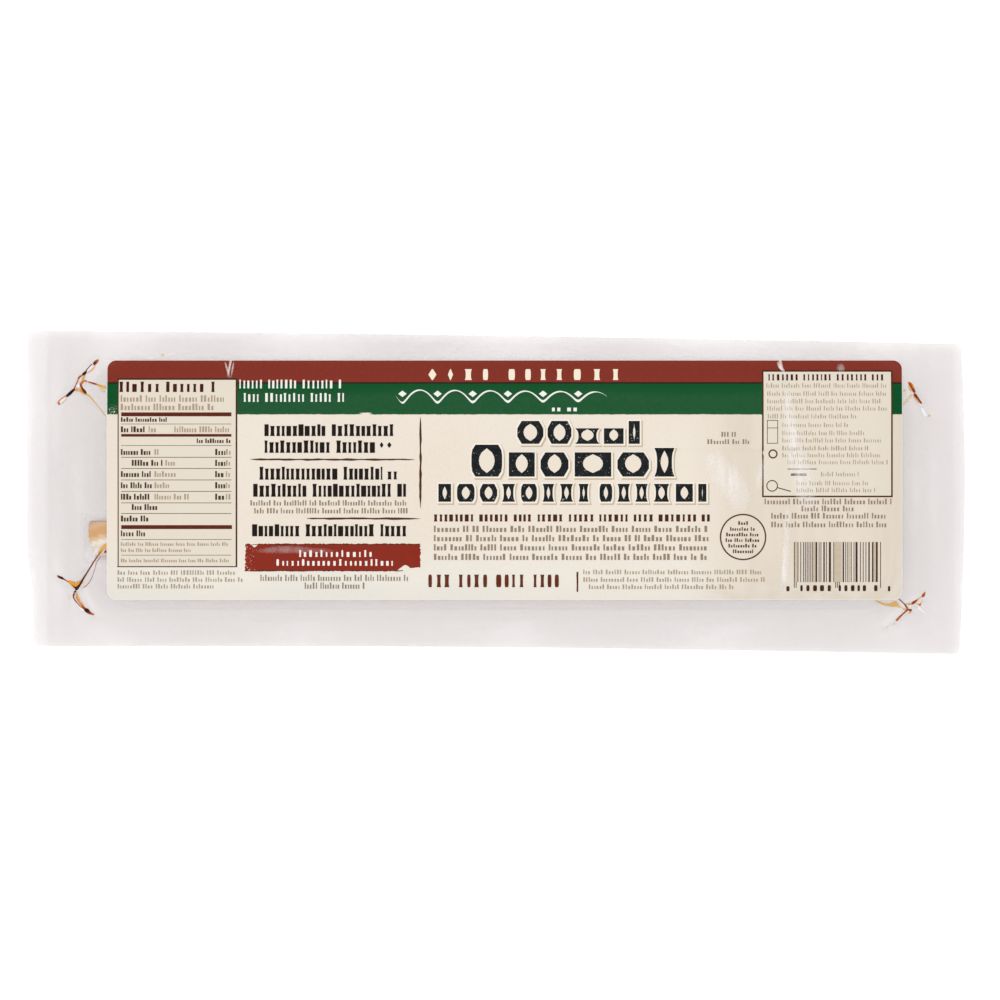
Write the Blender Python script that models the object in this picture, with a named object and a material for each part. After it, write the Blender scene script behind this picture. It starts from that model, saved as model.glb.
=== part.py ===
"""A vacuum pack of sliced bacon, lying label side up: the sealed clear pouch round its slab of
slices, and the paper label stuck on its upper film. Metres, +Z up, the origin on the surface that
the pack lies on, under the middle of its box."""

import math

import bmesh
import bpy

MM = 0.001

# The slab of shingled slices inside the pouch, seen from above.
SLAB_LENGTH = 284 * MM
SLAB_WIDTH = 81 * MM
SLAB_CENTRE = (1.0 * MM, 1.0 * MM)
SLAB_CORNER = 13 * MM
SLAB_TOP = 16 * MM

# The end of one slice, which reaches past the rest into the pocket at the left.
TONGUE_TIP = -146 * MM
TONGUE_ROOT = -138 * MM
TONGUE_MIDDLE = -16.7 * MM
TONGUE_HALF_WIDTH = 6.6 * MM
TONGUE_SOFTNESS = 3 * MM
TONGUE_RISE = 0.9 * MM
TONGUE_DROP = 1.4 * MM

# The welded rim: its level beside the slab, how far it hangs at its outer edge, and its waves.
RIM_LEVEL = 12.6 * MM
RIM_THICKNESS = 0.6 * MM
RIM_DROOP = 2.6 * MM
DROOP_REACH = 20 * MM
RIM_WAVE = 0.75 * MM
WAVE_LENGTH = 74 * MM
END_WAVE_LENGTH = 61 * MM

# The trimmed outline of the pouch. Its long edges slope a little and bow towards +Y.
END_REACH = 167.5 * MM
SIDE_REACH = 56 * MM
FAR_EDGE = {"middle": 55.6 * MM, "slope": -0.0143, "bow": 0.5 * MM}
NEAR_EDGE = {"middle": -56.6 * MM, "slope": -0.0087, "bow": 1.1 * MM}
LEFT_EDGE = -168.0 * MM
LEFT_STEP = {"size": 2.2 * MM, "from": -18 * MM, "run": 22 * MM}
RIGHT_EDGE = 168.1 * MM
RIGHT_BOW = {"size": 1.7 * MM, "centre": 5 * MM, "half": 58 * MM}
OUTLINE_FADE = 25 * MM
POUCH_CORNER = 1.6 * MM

# How the two films run from the slab out to the rim, measured from the slab's outline.
SHOULDER_INNER = -9 * MM
SHOULDER_OUTER = 7 * MM
WALL_INNER = -12 * MM
WALL_OUTER = 2.5 * MM

# Puckers at the corners of the pocket: the place of each star, and the bearing in degrees and the
# reach of each of its folds.
PUCKERS = (
    ((-149.0 * MM, 38.5 * MM), ((53, 10.9 * MM), (222, 10.2 * MM), (-17, 8.7 * MM), (-49, 14.7 * MM))),
    ((-150.0 * MM, -34.2 * MM), ((149, 8.0 * MM), (55, 19.0 * MM), (-57, 11.6 * MM))),
    ((149.7 * MM, 35.6 * MM), ((115, 5.0 * MM), (-56, 9.9 * MM), (227, 5.5 * MM))),
    ((147.3 * MM, -41.8 * MM), ((130, 5.0 * MM), (221, 9.9 * MM), (43, 9.0 * MM), (-15, 6.7 * MM))),
)
PUCKER_RISE = 1.2 * MM
PUCKER_DROP = 1.6 * MM
PUCKER_HALF_WIDTH = 2.5 * MM
PUCKER_TO_LABEL = 2 * MM

# The label, a rounded rectangle on the upper film, a hair above it.
LABEL_LENGTH = 284.6 * MM
LABEL_WIDTH = 85.8 * MM
LABEL_CENTRE = (3.2 * MM, 4.4 * MM)
LABEL_CORNER = 3.2 * MM
LABEL_THICKNESS = 0.3 * MM
LABEL_CLEARANCE = 0.35 * MM
LABEL_FLAT = 16.5 * MM

# How finely the two bodies are divided: steps along their sides and round each corner, and rings.
POUCH_SIDES = (24, 16)
POUCH_BEARINGS = (0, 10, 19, 28, 36, 42.9, 47.1, 54, 62, 71, 80, 90)
SQUARE_CORNER = 22 * MM
POUCH_RINGS = 8
SHOULDER_RINGS = 6
WALL_RINGS = 7
LABEL_SIDES = (40, 14)
LABEL_BEARINGS = (0, 22.5, 45, 67.5, 90)
LABEL_RINGS = 7

FILM_FINISH = {"colour": (0.80, 0.76, 0.75, 1.0), "roughness": 0.18}
PAPER_FINISH = {"colour": (0.82, 0.73, 0.62, 1.0), "roughness": 0.42}


def smooth(amount):
    """A smooth step: 0 below 0, 1 above 1."""
    amount = min(max(amount, 0.0), 1.0)
    return amount * amount * (3 - 2 * amount)


def mix(start, end, amount):
    return start + (end - start) * amount


def beyond(x, y, centre, length, width, corner):
    """How far a point lies outside a rounded rectangle, less than 0 inside it."""
    along = abs(x - centre[0]) - (length / 2 - corner)
    across = abs(y - centre[1]) - (width / 2 - corner)
    outside = math.hypot(max(along, 0.0), max(across, 0.0))
    return outside + min(max(along, across), 0.0) - corner


def beyond_slab(x, y):
    return beyond(x, y, SLAB_CENTRE, SLAB_LENGTH, SLAB_WIDTH, SLAB_CORNER)


def pucker(x, y):
    """How strongly the films are gathered at a point: 1 on a star's centre, less along its folds,
    and nothing under the label, which holds them flat."""
    strongest = 0.0
    for (star_x, star_y), folds in PUCKERS:
        for bearing, reach in folds:
            turn = math.radians(bearing)
            along = (x - star_x) * math.cos(turn) + (y - star_y) * math.sin(turn)
            aside = (y - star_y) * math.cos(turn) - (x - star_x) * math.sin(turn)
            run = min(max(along, 0.0), reach)
            distance = math.hypot(along - run, aside)
            height = (1 - 0.75 * run / reach) * smooth(1 - distance / PUCKER_HALF_WIDTH)
            strongest = max(strongest, height)
    off_label = beyond(x, y, LABEL_CENTRE, LABEL_LENGTH, LABEL_WIDTH, LABEL_CORNER)
    return strongest * smooth((off_label - PUCKER_TO_LABEL) / PUCKER_HALF_WIDTH)


def tongue(x, y):
    """1 over the slice end that reaches past the slab, falling to 0 round it."""
    aside = abs(y - TONGUE_MIDDLE) - TONGUE_HALF_WIDTH
    ahead = max(TONGUE_TIP - x, x - TONGUE_ROOT)
    return smooth(1 - max(aside, ahead) / TONGUE_SOFTNESS)


def rim_height(x, y):
    """The middle level of the welded rim, which hangs and waves a little towards its outer edge."""
    outward = max(beyond_slab(x, y), 0.0) / DROOP_REACH
    wave = math.sin(2 * math.pi * x / WAVE_LENGTH + 1.1) * math.cos(2 * math.pi * y / END_WAVE_LENGTH)
    return RIM_LEVEL - RIM_DROOP * outward ** 1.3 + RIM_WAVE * wave * smooth(outward)


def upper_film(x, y):
    """The height of the upper film's outer face."""
    on_slab = smooth((SHOULDER_OUTER - beyond_slab(x, y)) / (SHOULDER_OUTER - SHOULDER_INNER))
    rim = rim_height(x, y) + RIM_THICKNESS / 2 + TONGUE_RISE * tongue(x, y)
    return mix(rim + PUCKER_RISE * pucker(x, y), SLAB_TOP, on_slab)


def lower_film(x, y):
    """The height of the lower film's outer face: flat under the slab, with a rounded wall round it."""
    inward = min(max((WALL_OUTER - beyond_slab(x, y)) / (WALL_OUTER - WALL_INNER), 0.0), 1.0)
    drop = PUCKER_DROP * pucker(x, y) + TONGUE_DROP * tongue(x, y)
    rim = rim_height(x, y) - RIM_THICKNESS / 2 - drop
    return rim * (1 - math.sqrt(1 - (1 - inward) ** 2))


def stations(sides, bearings):
    """Stations round any rounded rectangle, anticlockwise: the share of its straight half sides at
    which each lies, and the bearing from there to the edge."""
    long_steps, short_steps = sides
    found = []
    for quarter, (corner_x, corner_y) in enumerate(((1, 1), (-1, 1), (-1, -1), (1, -1))):
        start = 90 * quarter
        found += [(corner_x, corner_y, start + bearing) for bearing in bearings]
        steps = long_steps if quarter % 2 == 0 else short_steps
        for step in range(1, steps):
            share = 1 - 2 * step / steps
            if quarter % 2 == 0:
                found.append((corner_x * share, corner_y, start + 90))
            else:
                found.append((corner_x, corner_y * share, start + 90))
    return found


def rounded_point(station, half_x, half_y, corner, square=False):
    """Where a station lies on a rounded rectangle, or on a square-cornered one of the same size."""
    share_x, share_y, bearing = station
    turn_x, turn_y = math.cos(math.radians(bearing)), math.sin(math.radians(bearing))
    if square:
        longest = max(abs(turn_x), abs(turn_y))
        turn_x, turn_y = turn_x / longest, turn_y / longest
    return share_x * (half_x - corner) + corner * turn_x, share_y * (half_y - corner) + corner * turn_y


def round_corner(x, y):
    """Moves a point of the pouch's plain rectangle so that its corners become arcs."""
    along = (abs(x) - (END_REACH - POUCH_CORNER)) / POUCH_CORNER
    across = (abs(y) - (SIDE_REACH - POUCH_CORNER)) / POUCH_CORNER
    if min(along, across) <= 0:
        return x, y
    arc_along = along * math.sqrt(1 - across ** 2 / 2)
    arc_across = across * math.sqrt(1 - along ** 2 / 2)
    return (
        math.copysign(END_REACH - POUCH_CORNER + POUCH_CORNER * arc_along, x),
        math.copysign(SIDE_REACH - POUCH_CORNER + POUCH_CORNER * arc_across, y),
    )


def pouch_outline(station):
    """Where a station lies on the pouch's sloping, bowed outline."""
    x, y = round_corner(*rounded_point(station, END_REACH, SIDE_REACH, SQUARE_CORNER, square=True))
    edge = FAR_EDGE if y > 0 else NEAR_EDGE
    new_y = edge["middle"] + edge["slope"] * x + edge["bow"] * math.cos(math.pi * x / (2 * END_REACH))
    if x < 0:
        new_x = LEFT_EDGE + LEFT_STEP["size"] * smooth((LEFT_STEP["from"] - y) / LEFT_STEP["run"])
    else:
        new_x = RIGHT_EDGE - RIGHT_BOW["size"] * ((y - RIGHT_BOW["centre"]) / RIGHT_BOW["half"]) ** 2
    near_end = smooth(1 - (END_REACH - abs(x)) / OUTLINE_FADE)
    near_side = smooth(1 - (SIDE_REACH - abs(y)) / OUTLINE_FADE)
    x += (new_x - math.copysign(END_REACH, x)) * near_end
    y += (new_y - math.copysign(SIDE_REACH, y)) * near_side
    return x, y


def slab_ring(station, offset):
    """Where a station lies on the slab's outline moved outwards by offset."""
    x, y = rounded_point(
        station, SLAB_LENGTH / 2 + offset, SLAB_WIDTH / 2 + offset, SLAB_CORNER + offset
    )
    return SLAB_CENTRE[0] + x, SLAB_CENTRE[1] + y


def pouch_ring(station, share):
    """Where a station lies on the rim, a share of the way from the slab's wall to the trimmed edge."""
    inner, outer = slab_ring(station, WALL_OUTER), pouch_outline(station)
    return mix(inner[0], outer[0], share), mix(inner[1], outer[1], share)


def label_ring(station, inset):
    """Where a station lies on the label's outline moved inwards by inset."""
    corner = max(LABEL_CORNER - inset, LABEL_CORNER / 3)
    x, y = rounded_point(station, LABEL_LENGTH / 2 - inset, LABEL_WIDTH / 2 - inset, corner)
    return LABEL_CENTRE[0] + x, LABEL_CENTRE[1] + y


def closed_body(name, rings):
    """A closed body: a filled ring of points, drawn out to each next ring and filled at the last."""
    body = bmesh.new()
    bmesh.ops.create_circle(body, cap_ends=True, segments=len(rings[0]), radius=1)
    edge = [vertex for vertex in body.verts]
    for vertex, place in zip(edge, rings[0]):
        vertex.co = place
    rim = [line for line in body.edges if line.is_boundary]
    for ring in rings[1:]:
        order = {vertex.co.to_tuple(7): index for index, vertex in enumerate(edge)}
        drawn = bmesh.ops.extrude_edge_only(body, edges=rim)["geom"]
        fresh = [item for item in drawn if isinstance(item, bmesh.types.BMVert)]
        edge = sorted(fresh, key=lambda vertex: order[vertex.co.to_tuple(7)])
        for vertex, place in zip(edge, ring):
            vertex.co = place
        made = set(fresh)
        rim = [item for item in drawn if isinstance(item, bmesh.types.BMEdge) and made.issuperset(item.verts)]
    bmesh.ops.contextual_create(body, geom=rim)
    bmesh.ops.recalc_face_normals(body, faces=body.faces[:])
    mesh = bpy.data.meshes.new(name)
    body.to_mesh(mesh)
    body.free()
    mesh.shade_smooth()
    mesh.set_sharp_from_angle(angle=math.radians(40))
    return bpy.data.objects.new(name, mesh)


def finish(name, colour, roughness):
    """A plain material of one colour."""
    material = bpy.data.materials.new(name)
    material.use_nodes = True
    shader = material.node_tree.nodes["Principled BSDF"]
    shader.inputs["Base Color"].default_value = colour
    shader.inputs["Roughness"].default_value = roughness
    shader.inputs["Metallic"].default_value = 0.0
    return material


def ring_of(points, height):
    return [(x, y, height(x, y)) for x, y in points]


def film_pack():
    """The sealed pouch with its slab of bacon: rounded body, thin welded rim, puckered corners."""
    around = stations(POUCH_SIDES, POUCH_BEARINGS)
    upper, lower = [], []
    for step in range(SHOULDER_RINGS):
        offset = mix(SHOULDER_INNER, WALL_OUTER, step / SHOULDER_RINGS)
        upper.append(ring_of([slab_ring(station, offset) for station in around], upper_film))
    for step in range(POUCH_RINGS + 1):
        points = [pouch_ring(station, step / POUCH_RINGS) for station in around]
        upper.append(ring_of(points, upper_film))
        lower.append(ring_of(points, lower_film))
    for step in range(1, WALL_RINGS + 1):
        turn = math.pi / 2 * step / WALL_RINGS
        offset = mix(WALL_OUTER, WALL_INNER, 1 - math.cos(turn))
        lower.insert(0, ring_of([slab_ring(station, offset) for station in around], lower_film))
    pack = closed_body("film_pack", upper + lower[::-1])
    pack.data.materials.append(finish("clear_film", **FILM_FINISH))
    return pack


def label():
    """The paper label, a thin sheet that follows the upper film."""
    around = stations(LABEL_SIDES, LABEL_BEARINGS)

    def under(x, y):
        return upper_film(x, y) + LABEL_CLEARANCE

    def over(x, y):
        return under(x, y) + LABEL_THICKNESS

    insets = [LABEL_FLAT * (1 - step / LABEL_RINGS) for step in range(LABEL_RINGS + 1)]
    outlines = [[label_ring(station, inset) for station in around] for inset in insets]
    rings = [ring_of(points, over) for points in outlines]
    rings += [ring_of(points, under) for points in outlines[::-1]]
    sheet = closed_body("label", rings)
    sheet.data.materials.append(finish("label_paper", **PAPER_FINISH))
    return sheet


def main():
    for old in list(bpy.data.objects):
        bpy.data.objects.remove(old, do_unlink=True)
    pack_parts = bpy.data.collections.new("bacon_pack")
    bpy.context.scene.collection.children.link(pack_parts)
    for make in (film_pack, label):
        pack_parts.objects.link(make())


main()
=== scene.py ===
"""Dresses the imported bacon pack: the clear pouch, the slices and juice inside it, and the printed
label, on a pale floor under soft light."""

import math
import random

import bmesh
import bpy
import numpy as np
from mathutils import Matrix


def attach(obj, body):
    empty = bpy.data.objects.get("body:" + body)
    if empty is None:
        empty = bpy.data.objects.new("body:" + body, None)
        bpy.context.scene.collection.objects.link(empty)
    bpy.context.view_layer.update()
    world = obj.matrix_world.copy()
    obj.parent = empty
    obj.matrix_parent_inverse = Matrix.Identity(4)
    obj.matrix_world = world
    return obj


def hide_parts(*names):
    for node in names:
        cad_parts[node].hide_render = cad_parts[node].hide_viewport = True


bl_info = {
    "name": "Bacon Pack",
    "version": (1, 0, 0),
    "blender": (4, 5, 0),
    "location": "3D View > Sidebar > Bacon Pack",
    "description": "Builds a vacuum pack of sliced bacon with its film, slices, juice and label",
    "category": "Object",
}

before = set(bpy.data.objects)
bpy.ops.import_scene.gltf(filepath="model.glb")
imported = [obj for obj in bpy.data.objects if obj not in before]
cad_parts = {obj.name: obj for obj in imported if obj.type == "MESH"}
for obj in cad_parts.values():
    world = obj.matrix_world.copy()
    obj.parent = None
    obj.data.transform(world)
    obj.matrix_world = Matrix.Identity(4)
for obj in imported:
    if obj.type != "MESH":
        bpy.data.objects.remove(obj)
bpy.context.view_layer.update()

MM = 0.001
BODY = "root"

# The forms that the solids give the pouch, in metres: the slab, the rim and the trimmed outline.
SLAB = {"centre": (1.0 * MM, 1.0 * MM), "length": 284 * MM, "width": 81 * MM, "corner": 13 * MM}
SLAB_TOP = 16 * MM
TONGUE = {"tip": -146 * MM, "root": -138 * MM, "middle": -16.7 * MM, "half": 6.6 * MM, "soft": 3 * MM}
TONGUE_RISE = 0.9 * MM
TONGUE_DROP = 1.4 * MM
RIM_LEVEL = 12.6 * MM
RIM_THICKNESS = 0.6 * MM
RIM_DROOP = 2.6 * MM
DROOP_REACH = 20 * MM
RIM_WAVE = 0.75 * MM
WAVE_LENGTH = 74 * MM
END_WAVE_LENGTH = 61 * MM
END_REACH = 167.5 * MM
SIDE_REACH = 56 * MM
FAR_EDGE = {"middle": 55.6 * MM, "slope": -0.0143, "bow": 0.5 * MM}
NEAR_EDGE = {"middle": -56.6 * MM, "slope": -0.0087, "bow": 1.1 * MM}
LEFT_EDGE = -168.0 * MM
LEFT_STEP = {"size": 2.2 * MM, "from": -18 * MM, "run": 22 * MM}
RIGHT_EDGE = 168.1 * MM
RIGHT_BOW = {"size": 1.7 * MM, "centre": 5 * MM, "half": 58 * MM}
OUTLINE_FADE = 25 * MM
POUCH_CORNER = 1.6 * MM
SHOULDER_INNER = -9 * MM
SHOULDER_OUTER = 7 * MM
WALL_INNER = -12 * MM
WALL_OUTER = 2.5 * MM
PUCKERS = (
    ((-149.0, 38.5), ((53, 10.9), (222, 10.2), (-17, 8.7), (-49, 14.7))),
    ((-150.0, -34.2), ((149, 8.0), (55, 19.0), (-57, 11.6))),
    ((149.7, 35.6), ((115, 5.0), (-56, 9.9), (227, 5.5))),
    ((147.3, -41.8), ((130, 5.0), (221, 9.9), (43, 9.0), (-15, 6.7))),
)
PUCKER_RISE = 1.2 * MM
PUCKER_DROP = 1.6 * MM
PUCKER_HALF_WIDTH = 1.9 * MM
PUCKER_TO_LABEL = 2 * MM

# Where the whiter seals of the two ends start, and how softly.
SEALS_START = (-160.2 * MM, 163.6 * MM)
SEAL_FADE = 1.2 * MM

# The relief of the film and the label: the step and ridges of the slices under them, soft sags, how
# far the whole relief is let down, the room left under the label, and the rim's ripples and bands.
STEP_HEIGHT = 0.45 * MM
RIDGE_HEIGHT = 0.22 * MM
SAG_DEPTH = 0.24 * MM
RELIEF_DROP = 0.45 * MM
ROOM_UNDER_LABEL = 1.3 * MM
ROOM_FADE = 5 * MM
RIPPLE_HEIGHT = 0.10 * MM
BAND_HEIGHT = 0.08 * MM
BAND_PITCH = 9.5 * MM

# How finely the pouch's skin is divided: steps along its sides and round each corner, and rings.
POUCH_SIDES = (150, 40)
CORNER_STEPS = 26
SQUARE_CORNER = 22 * MM
RIM_RINGS = 24
SHOULDER_RINGS = 8
WALL_RINGS = 14

# The label on the upper film. Its print is laid out in millimetres from its upper left corner.
LABEL = {"centre": (3.2 * MM, 4.4 * MM), "length": 284.6 * MM, "width": 85.8 * MM, "corner": 3.2 * MM}
LABEL_LEFT = LABEL["centre"][0] / MM - LABEL["length"] / MM / 2
LABEL_FAR = LABEL["centre"][1] / MM + LABEL["width"] / MM / 2
PAPER_LIFT = 0.04 * MM
PAPER_THICKNESS = 0.16 * MM
INK_RISE = 0.05 * MM
INK_STEP = 0.04 * MM
INK_THICKNESS = 0.08 * MM
PAPER_MARGIN = 0.12 * MM

# The photograph's frame: its width at the label's height, the camera's height and where it looks.
FRAME_WIDTH = 357.5 * MM
CAMERA_HEIGHT = 3.0
LOOK_AT = (1.52 * MM, -2.77 * MM)
SENSOR = 36.0

# One dot of the photograph in millimetres, and the dot over the middle of the part's frame
DOT = 0.3575
PICTURE_MIDDLE = (495.75, 492.25)

# The stage: the floor's size and level, and the soft lamp's place, size and tilt in degrees.
FLOOR_SIZE = 12.0
FLOOR_LEVEL = -0.3 * MM
LAMP_PLACE = (-0.05, 0.12, 2.1)
LAMP_SIZE = 1.1
LAMP_TILT = (-3.0, -1.5)

# How bright white paper shows under that light, and how much the label and its ink shine.
LIGHT_LEVEL = 1.71
LABEL_SHINE = 0.06
INK_SHINE = 0.03


def linear(red, green, blue):
    """A linear colour from 8-bit display values."""
    shares = [value / 255 for value in (red, green, blue)]
    return tuple(s / 12.92 if s <= 0.04045 else ((s + 0.055) / 1.055) ** 2.4 for s in shares)


def lit(red, green, blue):
    """A surface colour that shows as these display values under the stage's light."""
    return tuple(value / LIGHT_LEVEL for value in linear(red, green, blue)) + (1.0,)


# Forms shared by the pieces


def smooth(amount):
    """A smooth step: 0 below 0, 1 above 1."""
    amount = np.clip(amount, 0.0, 1.0)
    return amount * amount * (3 - 2 * amount)


def mix(start, end, amount):
    return start + (end - start) * amount


def beyond(x, y, shape):
    """How far points lie outside a rounded rectangle, less than 0 inside it."""
    along = np.abs(x - shape["centre"][0]) - (shape["length"] / 2 - shape["corner"])
    across = np.abs(y - shape["centre"][1]) - (shape["width"] / 2 - shape["corner"])
    outside = np.hypot(np.maximum(along, 0), np.maximum(across, 0))
    return outside + np.minimum(np.maximum(along, across), 0) - shape["corner"]


def pucker(x, y):
    """How strongly the films are gathered: 1 on a star's centre, less along its folds."""
    strongest = np.zeros_like(x)
    for (star_x, star_y), folds in PUCKERS:
        for bearing, reach in folds:
            turn, reach = math.radians(bearing), reach * MM
            over_x, over_y = x - star_x * MM, y - star_y * MM
            along = over_x * math.cos(turn) + over_y * math.sin(turn)
            aside = over_y * math.cos(turn) - over_x * math.sin(turn)
            run = np.clip(along, 0, reach)
            distance = np.hypot(along - run, aside)
            height = (1 - 0.75 * run / reach) * smooth(1 - distance / PUCKER_HALF_WIDTH)
            strongest = np.maximum(strongest, height)
    return strongest * smooth((beyond(x, y, LABEL) - PUCKER_TO_LABEL) / PUCKER_HALF_WIDTH)


def tongue(x, y):
    """1 over the slice end that reaches past the slab, falling to 0 round it."""
    aside = np.abs(y - TONGUE["middle"]) - TONGUE["half"]
    ahead = np.maximum(TONGUE["tip"] - x, x - TONGUE["root"])
    return smooth(1 - np.maximum(aside, ahead) / TONGUE["soft"])


def rim_height(x, y):
    """The middle level of the welded rim, which hangs and waves a little towards its outer edge."""
    outward = np.maximum(beyond(x, y, SLAB), 0) / DROOP_REACH
    wave = np.sin(2 * math.pi * x / WAVE_LENGTH + 1.1) * np.cos(2 * math.pi * y / END_WAVE_LENGTH)
    return RIM_LEVEL - RIM_DROOP * outward**1.3 + RIM_WAVE * wave * smooth(outward)


def upper_film(x, y):
    """The height of the upper film's outer face."""
    on_slab = smooth((SHOULDER_OUTER - beyond(x, y, SLAB)) / (SHOULDER_OUTER - SHOULDER_INNER))
    rim = rim_height(x, y) + RIM_THICKNESS / 2 + TONGUE_RISE * tongue(x, y)
    return mix(rim + PUCKER_RISE * pucker(x, y), SLAB_TOP, on_slab)


def lower_film(x, y):
    """The height of the lower film's outer face: flat under the slab, with a rounded wall round it."""
    inward = np.clip((WALL_OUTER - beyond(x, y, SLAB)) / (WALL_OUTER - WALL_INNER), 0, 1)
    drop = PUCKER_DROP * pucker(x, y) + TONGUE_DROP * tongue(x, y)
    rim = rim_height(x, y) - RIM_THICKNESS / 2 - drop
    return rim * (1 - np.sqrt(1 - (1 - inward) ** 2))


def ripples(x, y, seed, length, octaves=3):
    """Soft uneven waves, about -1 to 1, from a few crossing sines."""
    rng = random.Random(seed)
    total, weight = np.zeros_like(x), 0.0
    for octave in range(octaves):
        for _ in range(3):
            turn = rng.uniform(0, math.tau)
            step = length / (1.7**octave) * rng.uniform(0.8, 1.25)
            phase = rng.uniform(0, math.tau)
            along = (x * math.cos(turn) + y * math.sin(turn)) / step
            total = total + np.sin(math.tau * along + phase) / 1.6**octave
            weight += 1 / 1.6**octave
    return total / weight * 1.6


def slab_relief(x, y):
    """How the slices' edges and ends stand through the upper film and the label."""
    step = STEP_HEIGHT * smooth((16.2 * MM - y) / (2.0 * MM)) * smooth(0.5 + x / (90 * MM))
    ridges = RIDGE_HEIGHT * ripples(x, y * 0.3, seed=5, length=24 * MM)
    sags = SAG_DEPTH * ripples(x, y, seed=9, length=60 * MM, octaves=2)
    inside = smooth(-beyond(x, y, SLAB) / (16 * MM))
    return (step + ridges * smooth((18 * MM - y) / (6 * MM)) + sags) * inside - RELIEF_DROP * inside


def paper_height(x, y):
    """The height of the label's printed face."""
    return upper_film(x, y) + slab_relief(x, y) + PAPER_LIFT + PAPER_THICKNESS


# Modelling helpers


def deselect_all():
    if bpy.context.object and bpy.context.object.mode != "OBJECT":
        bpy.ops.object.mode_set(mode="OBJECT")
    bpy.ops.object.select_all(action="DESELECT")


def grid(name, columns, rows):
    """A flat grid of so many faces along and across, and the column and row of each of its points."""
    deselect_all()
    bpy.ops.mesh.primitive_grid_add(x_subdivisions=columns, y_subdivisions=rows, size=2)
    piece = bpy.context.object
    piece.name = piece.data.name = name
    places = points_of(piece)
    column = np.rint((places[:, 0] + 1) / 2 * columns).astype(int)
    row = np.rint((places[:, 1] + 1) / 2 * rows).astype(int)
    return piece, column, row


def points_of(piece):
    places = np.empty(len(piece.data.vertices) * 3)
    piece.data.vertices.foreach_get("co", places)
    return places.reshape(-1, 3)


def place_points(piece, places):
    piece.data.vertices.foreach_set("co", np.ascontiguousarray(places, np.float64).ravel())
    piece.data.update()


def place_flat(piece, x, y):
    place_points(piece, np.stack([x, y, np.zeros_like(x)], 1))


def store_numbers(piece, name, values):
    """Keeps one number a point as an attribute that a material reads."""
    attribute = piece.data.attributes.new(name, "FLOAT", "POINT")
    attribute.data.foreach_set("value", np.asarray(values, np.float32))


def store_slice_layout(piece, along, across):
    """Keeps the place along and across a slice as the UV map that its material reads."""
    layout = piece.data.uv_layers.new(name="slice")
    corners = np.empty(len(piece.data.loops), int)
    piece.data.loops.foreach_get("vertex_index", corners)
    layout.data.foreach_set("uv", np.stack([along[corners], across[corners]], 1).ravel())


def pick(piece):
    """Selects the piece alone and makes it active."""
    deselect_all()
    piece.select_set(True)
    bpy.context.view_layer.objects.active = piece


def edit(piece):
    """Opens the piece in edit mode with nothing selected."""
    pick(piece)
    bpy.ops.object.mode_set(mode="EDIT")
    bpy.ops.mesh.select_all(action="DESELECT")


def edit_all(piece, operator, **settings):
    """Runs one mesh operator on the whole piece."""
    edit(piece)
    bpy.ops.mesh.select_all(action="SELECT")
    operator(**settings)
    bpy.ops.object.mode_set(mode="OBJECT")


def subdivide(piece, cuts):
    edit_all(piece, bpy.ops.mesh.subdivide, number_cuts=cuts)


def merge_doubles(piece, reach=1e-7):
    edit_all(piece, bpy.ops.mesh.remove_doubles, threshold=reach)


def face_outwards(piece):
    edit_all(piece, bpy.ops.mesh.normals_make_consistent, inside=False)


def face_up(piece):
    """Turns every face of a flat piece to look up."""
    edit(piece)
    shape = bmesh.from_edit_mesh(piece.data)
    shape.normal_update()
    for face in shape.faces:
        face.select_set(face.normal.z < 0)
    bmesh.update_edit_mesh(piece.data)
    bpy.ops.mesh.flip_normals()
    bpy.ops.object.mode_set(mode="OBJECT")


def delete_faces(piece, chosen):
    """Deletes the faces marked true in chosen, and what only they used."""
    edit(piece)
    bpy.ops.mesh.select_mode(type="FACE")
    bpy.ops.object.mode_set(mode="OBJECT")
    piece.data.polygons.foreach_set("select", chosen)
    bpy.ops.object.mode_set(mode="EDIT")
    bpy.ops.mesh.delete(type="FACE")
    bpy.ops.object.mode_set(mode="OBJECT")


def fill_holes(piece):
    edit(piece)
    bpy.ops.mesh.select_mode(type="EDGE")
    bpy.ops.mesh.select_non_manifold(extend=False)
    bpy.ops.mesh.fill_holes(sides=0)
    bpy.ops.object.mode_set(mode="OBJECT")


def join(name, pieces):
    pick(pieces[0])
    for piece in pieces:
        piece.select_set(True)
    if len(pieces) > 1:
        bpy.ops.object.join()
    joined = bpy.context.object
    joined.name = joined.data.name = name
    return joined


def apply_modifier(piece, kind, **settings):
    pick(piece)
    modifier = piece.modifiers.new(kind.lower(), kind)
    for key, value in settings.items():
        setattr(modifier, key, value)
    bpy.ops.object.modifier_apply(modifier=modifier.name)


def shade_smooth(piece, angle=180):
    """Shades the piece smooth, but for edges sharper than the angle in degrees."""
    pick(piece)
    if angle == 180:
        bpy.ops.object.shade_smooth()
    else:
        bpy.ops.object.shade_smooth_by_angle(angle=math.radians(angle))


def dress(piece, material, slot, *replaced):
    """Gives a finished piece its material, its body and the nodes that it stands for."""
    piece.data.materials.clear()
    piece.data.materials.append(material)
    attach(piece, BODY)
    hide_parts(*replaced)
    return piece


# Materials


class Value:
    """A number's socket in a shader. Arithmetic on it adds Math nodes."""

    def __init__(self, finish, socket):
        self.finish, self.socket = finish, socket

    def __add__(self, other):
        return self.finish.math("ADD", self, other)

    def __sub__(self, other):
        return self.finish.math("SUBTRACT", self, other)

    def __rsub__(self, other):
        return self.finish.math("SUBTRACT", other, self)

    def __mul__(self, other):
        return self.finish.math("MULTIPLY", self, other)

    __radd__, __rmul__ = __add__, __mul__


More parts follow.
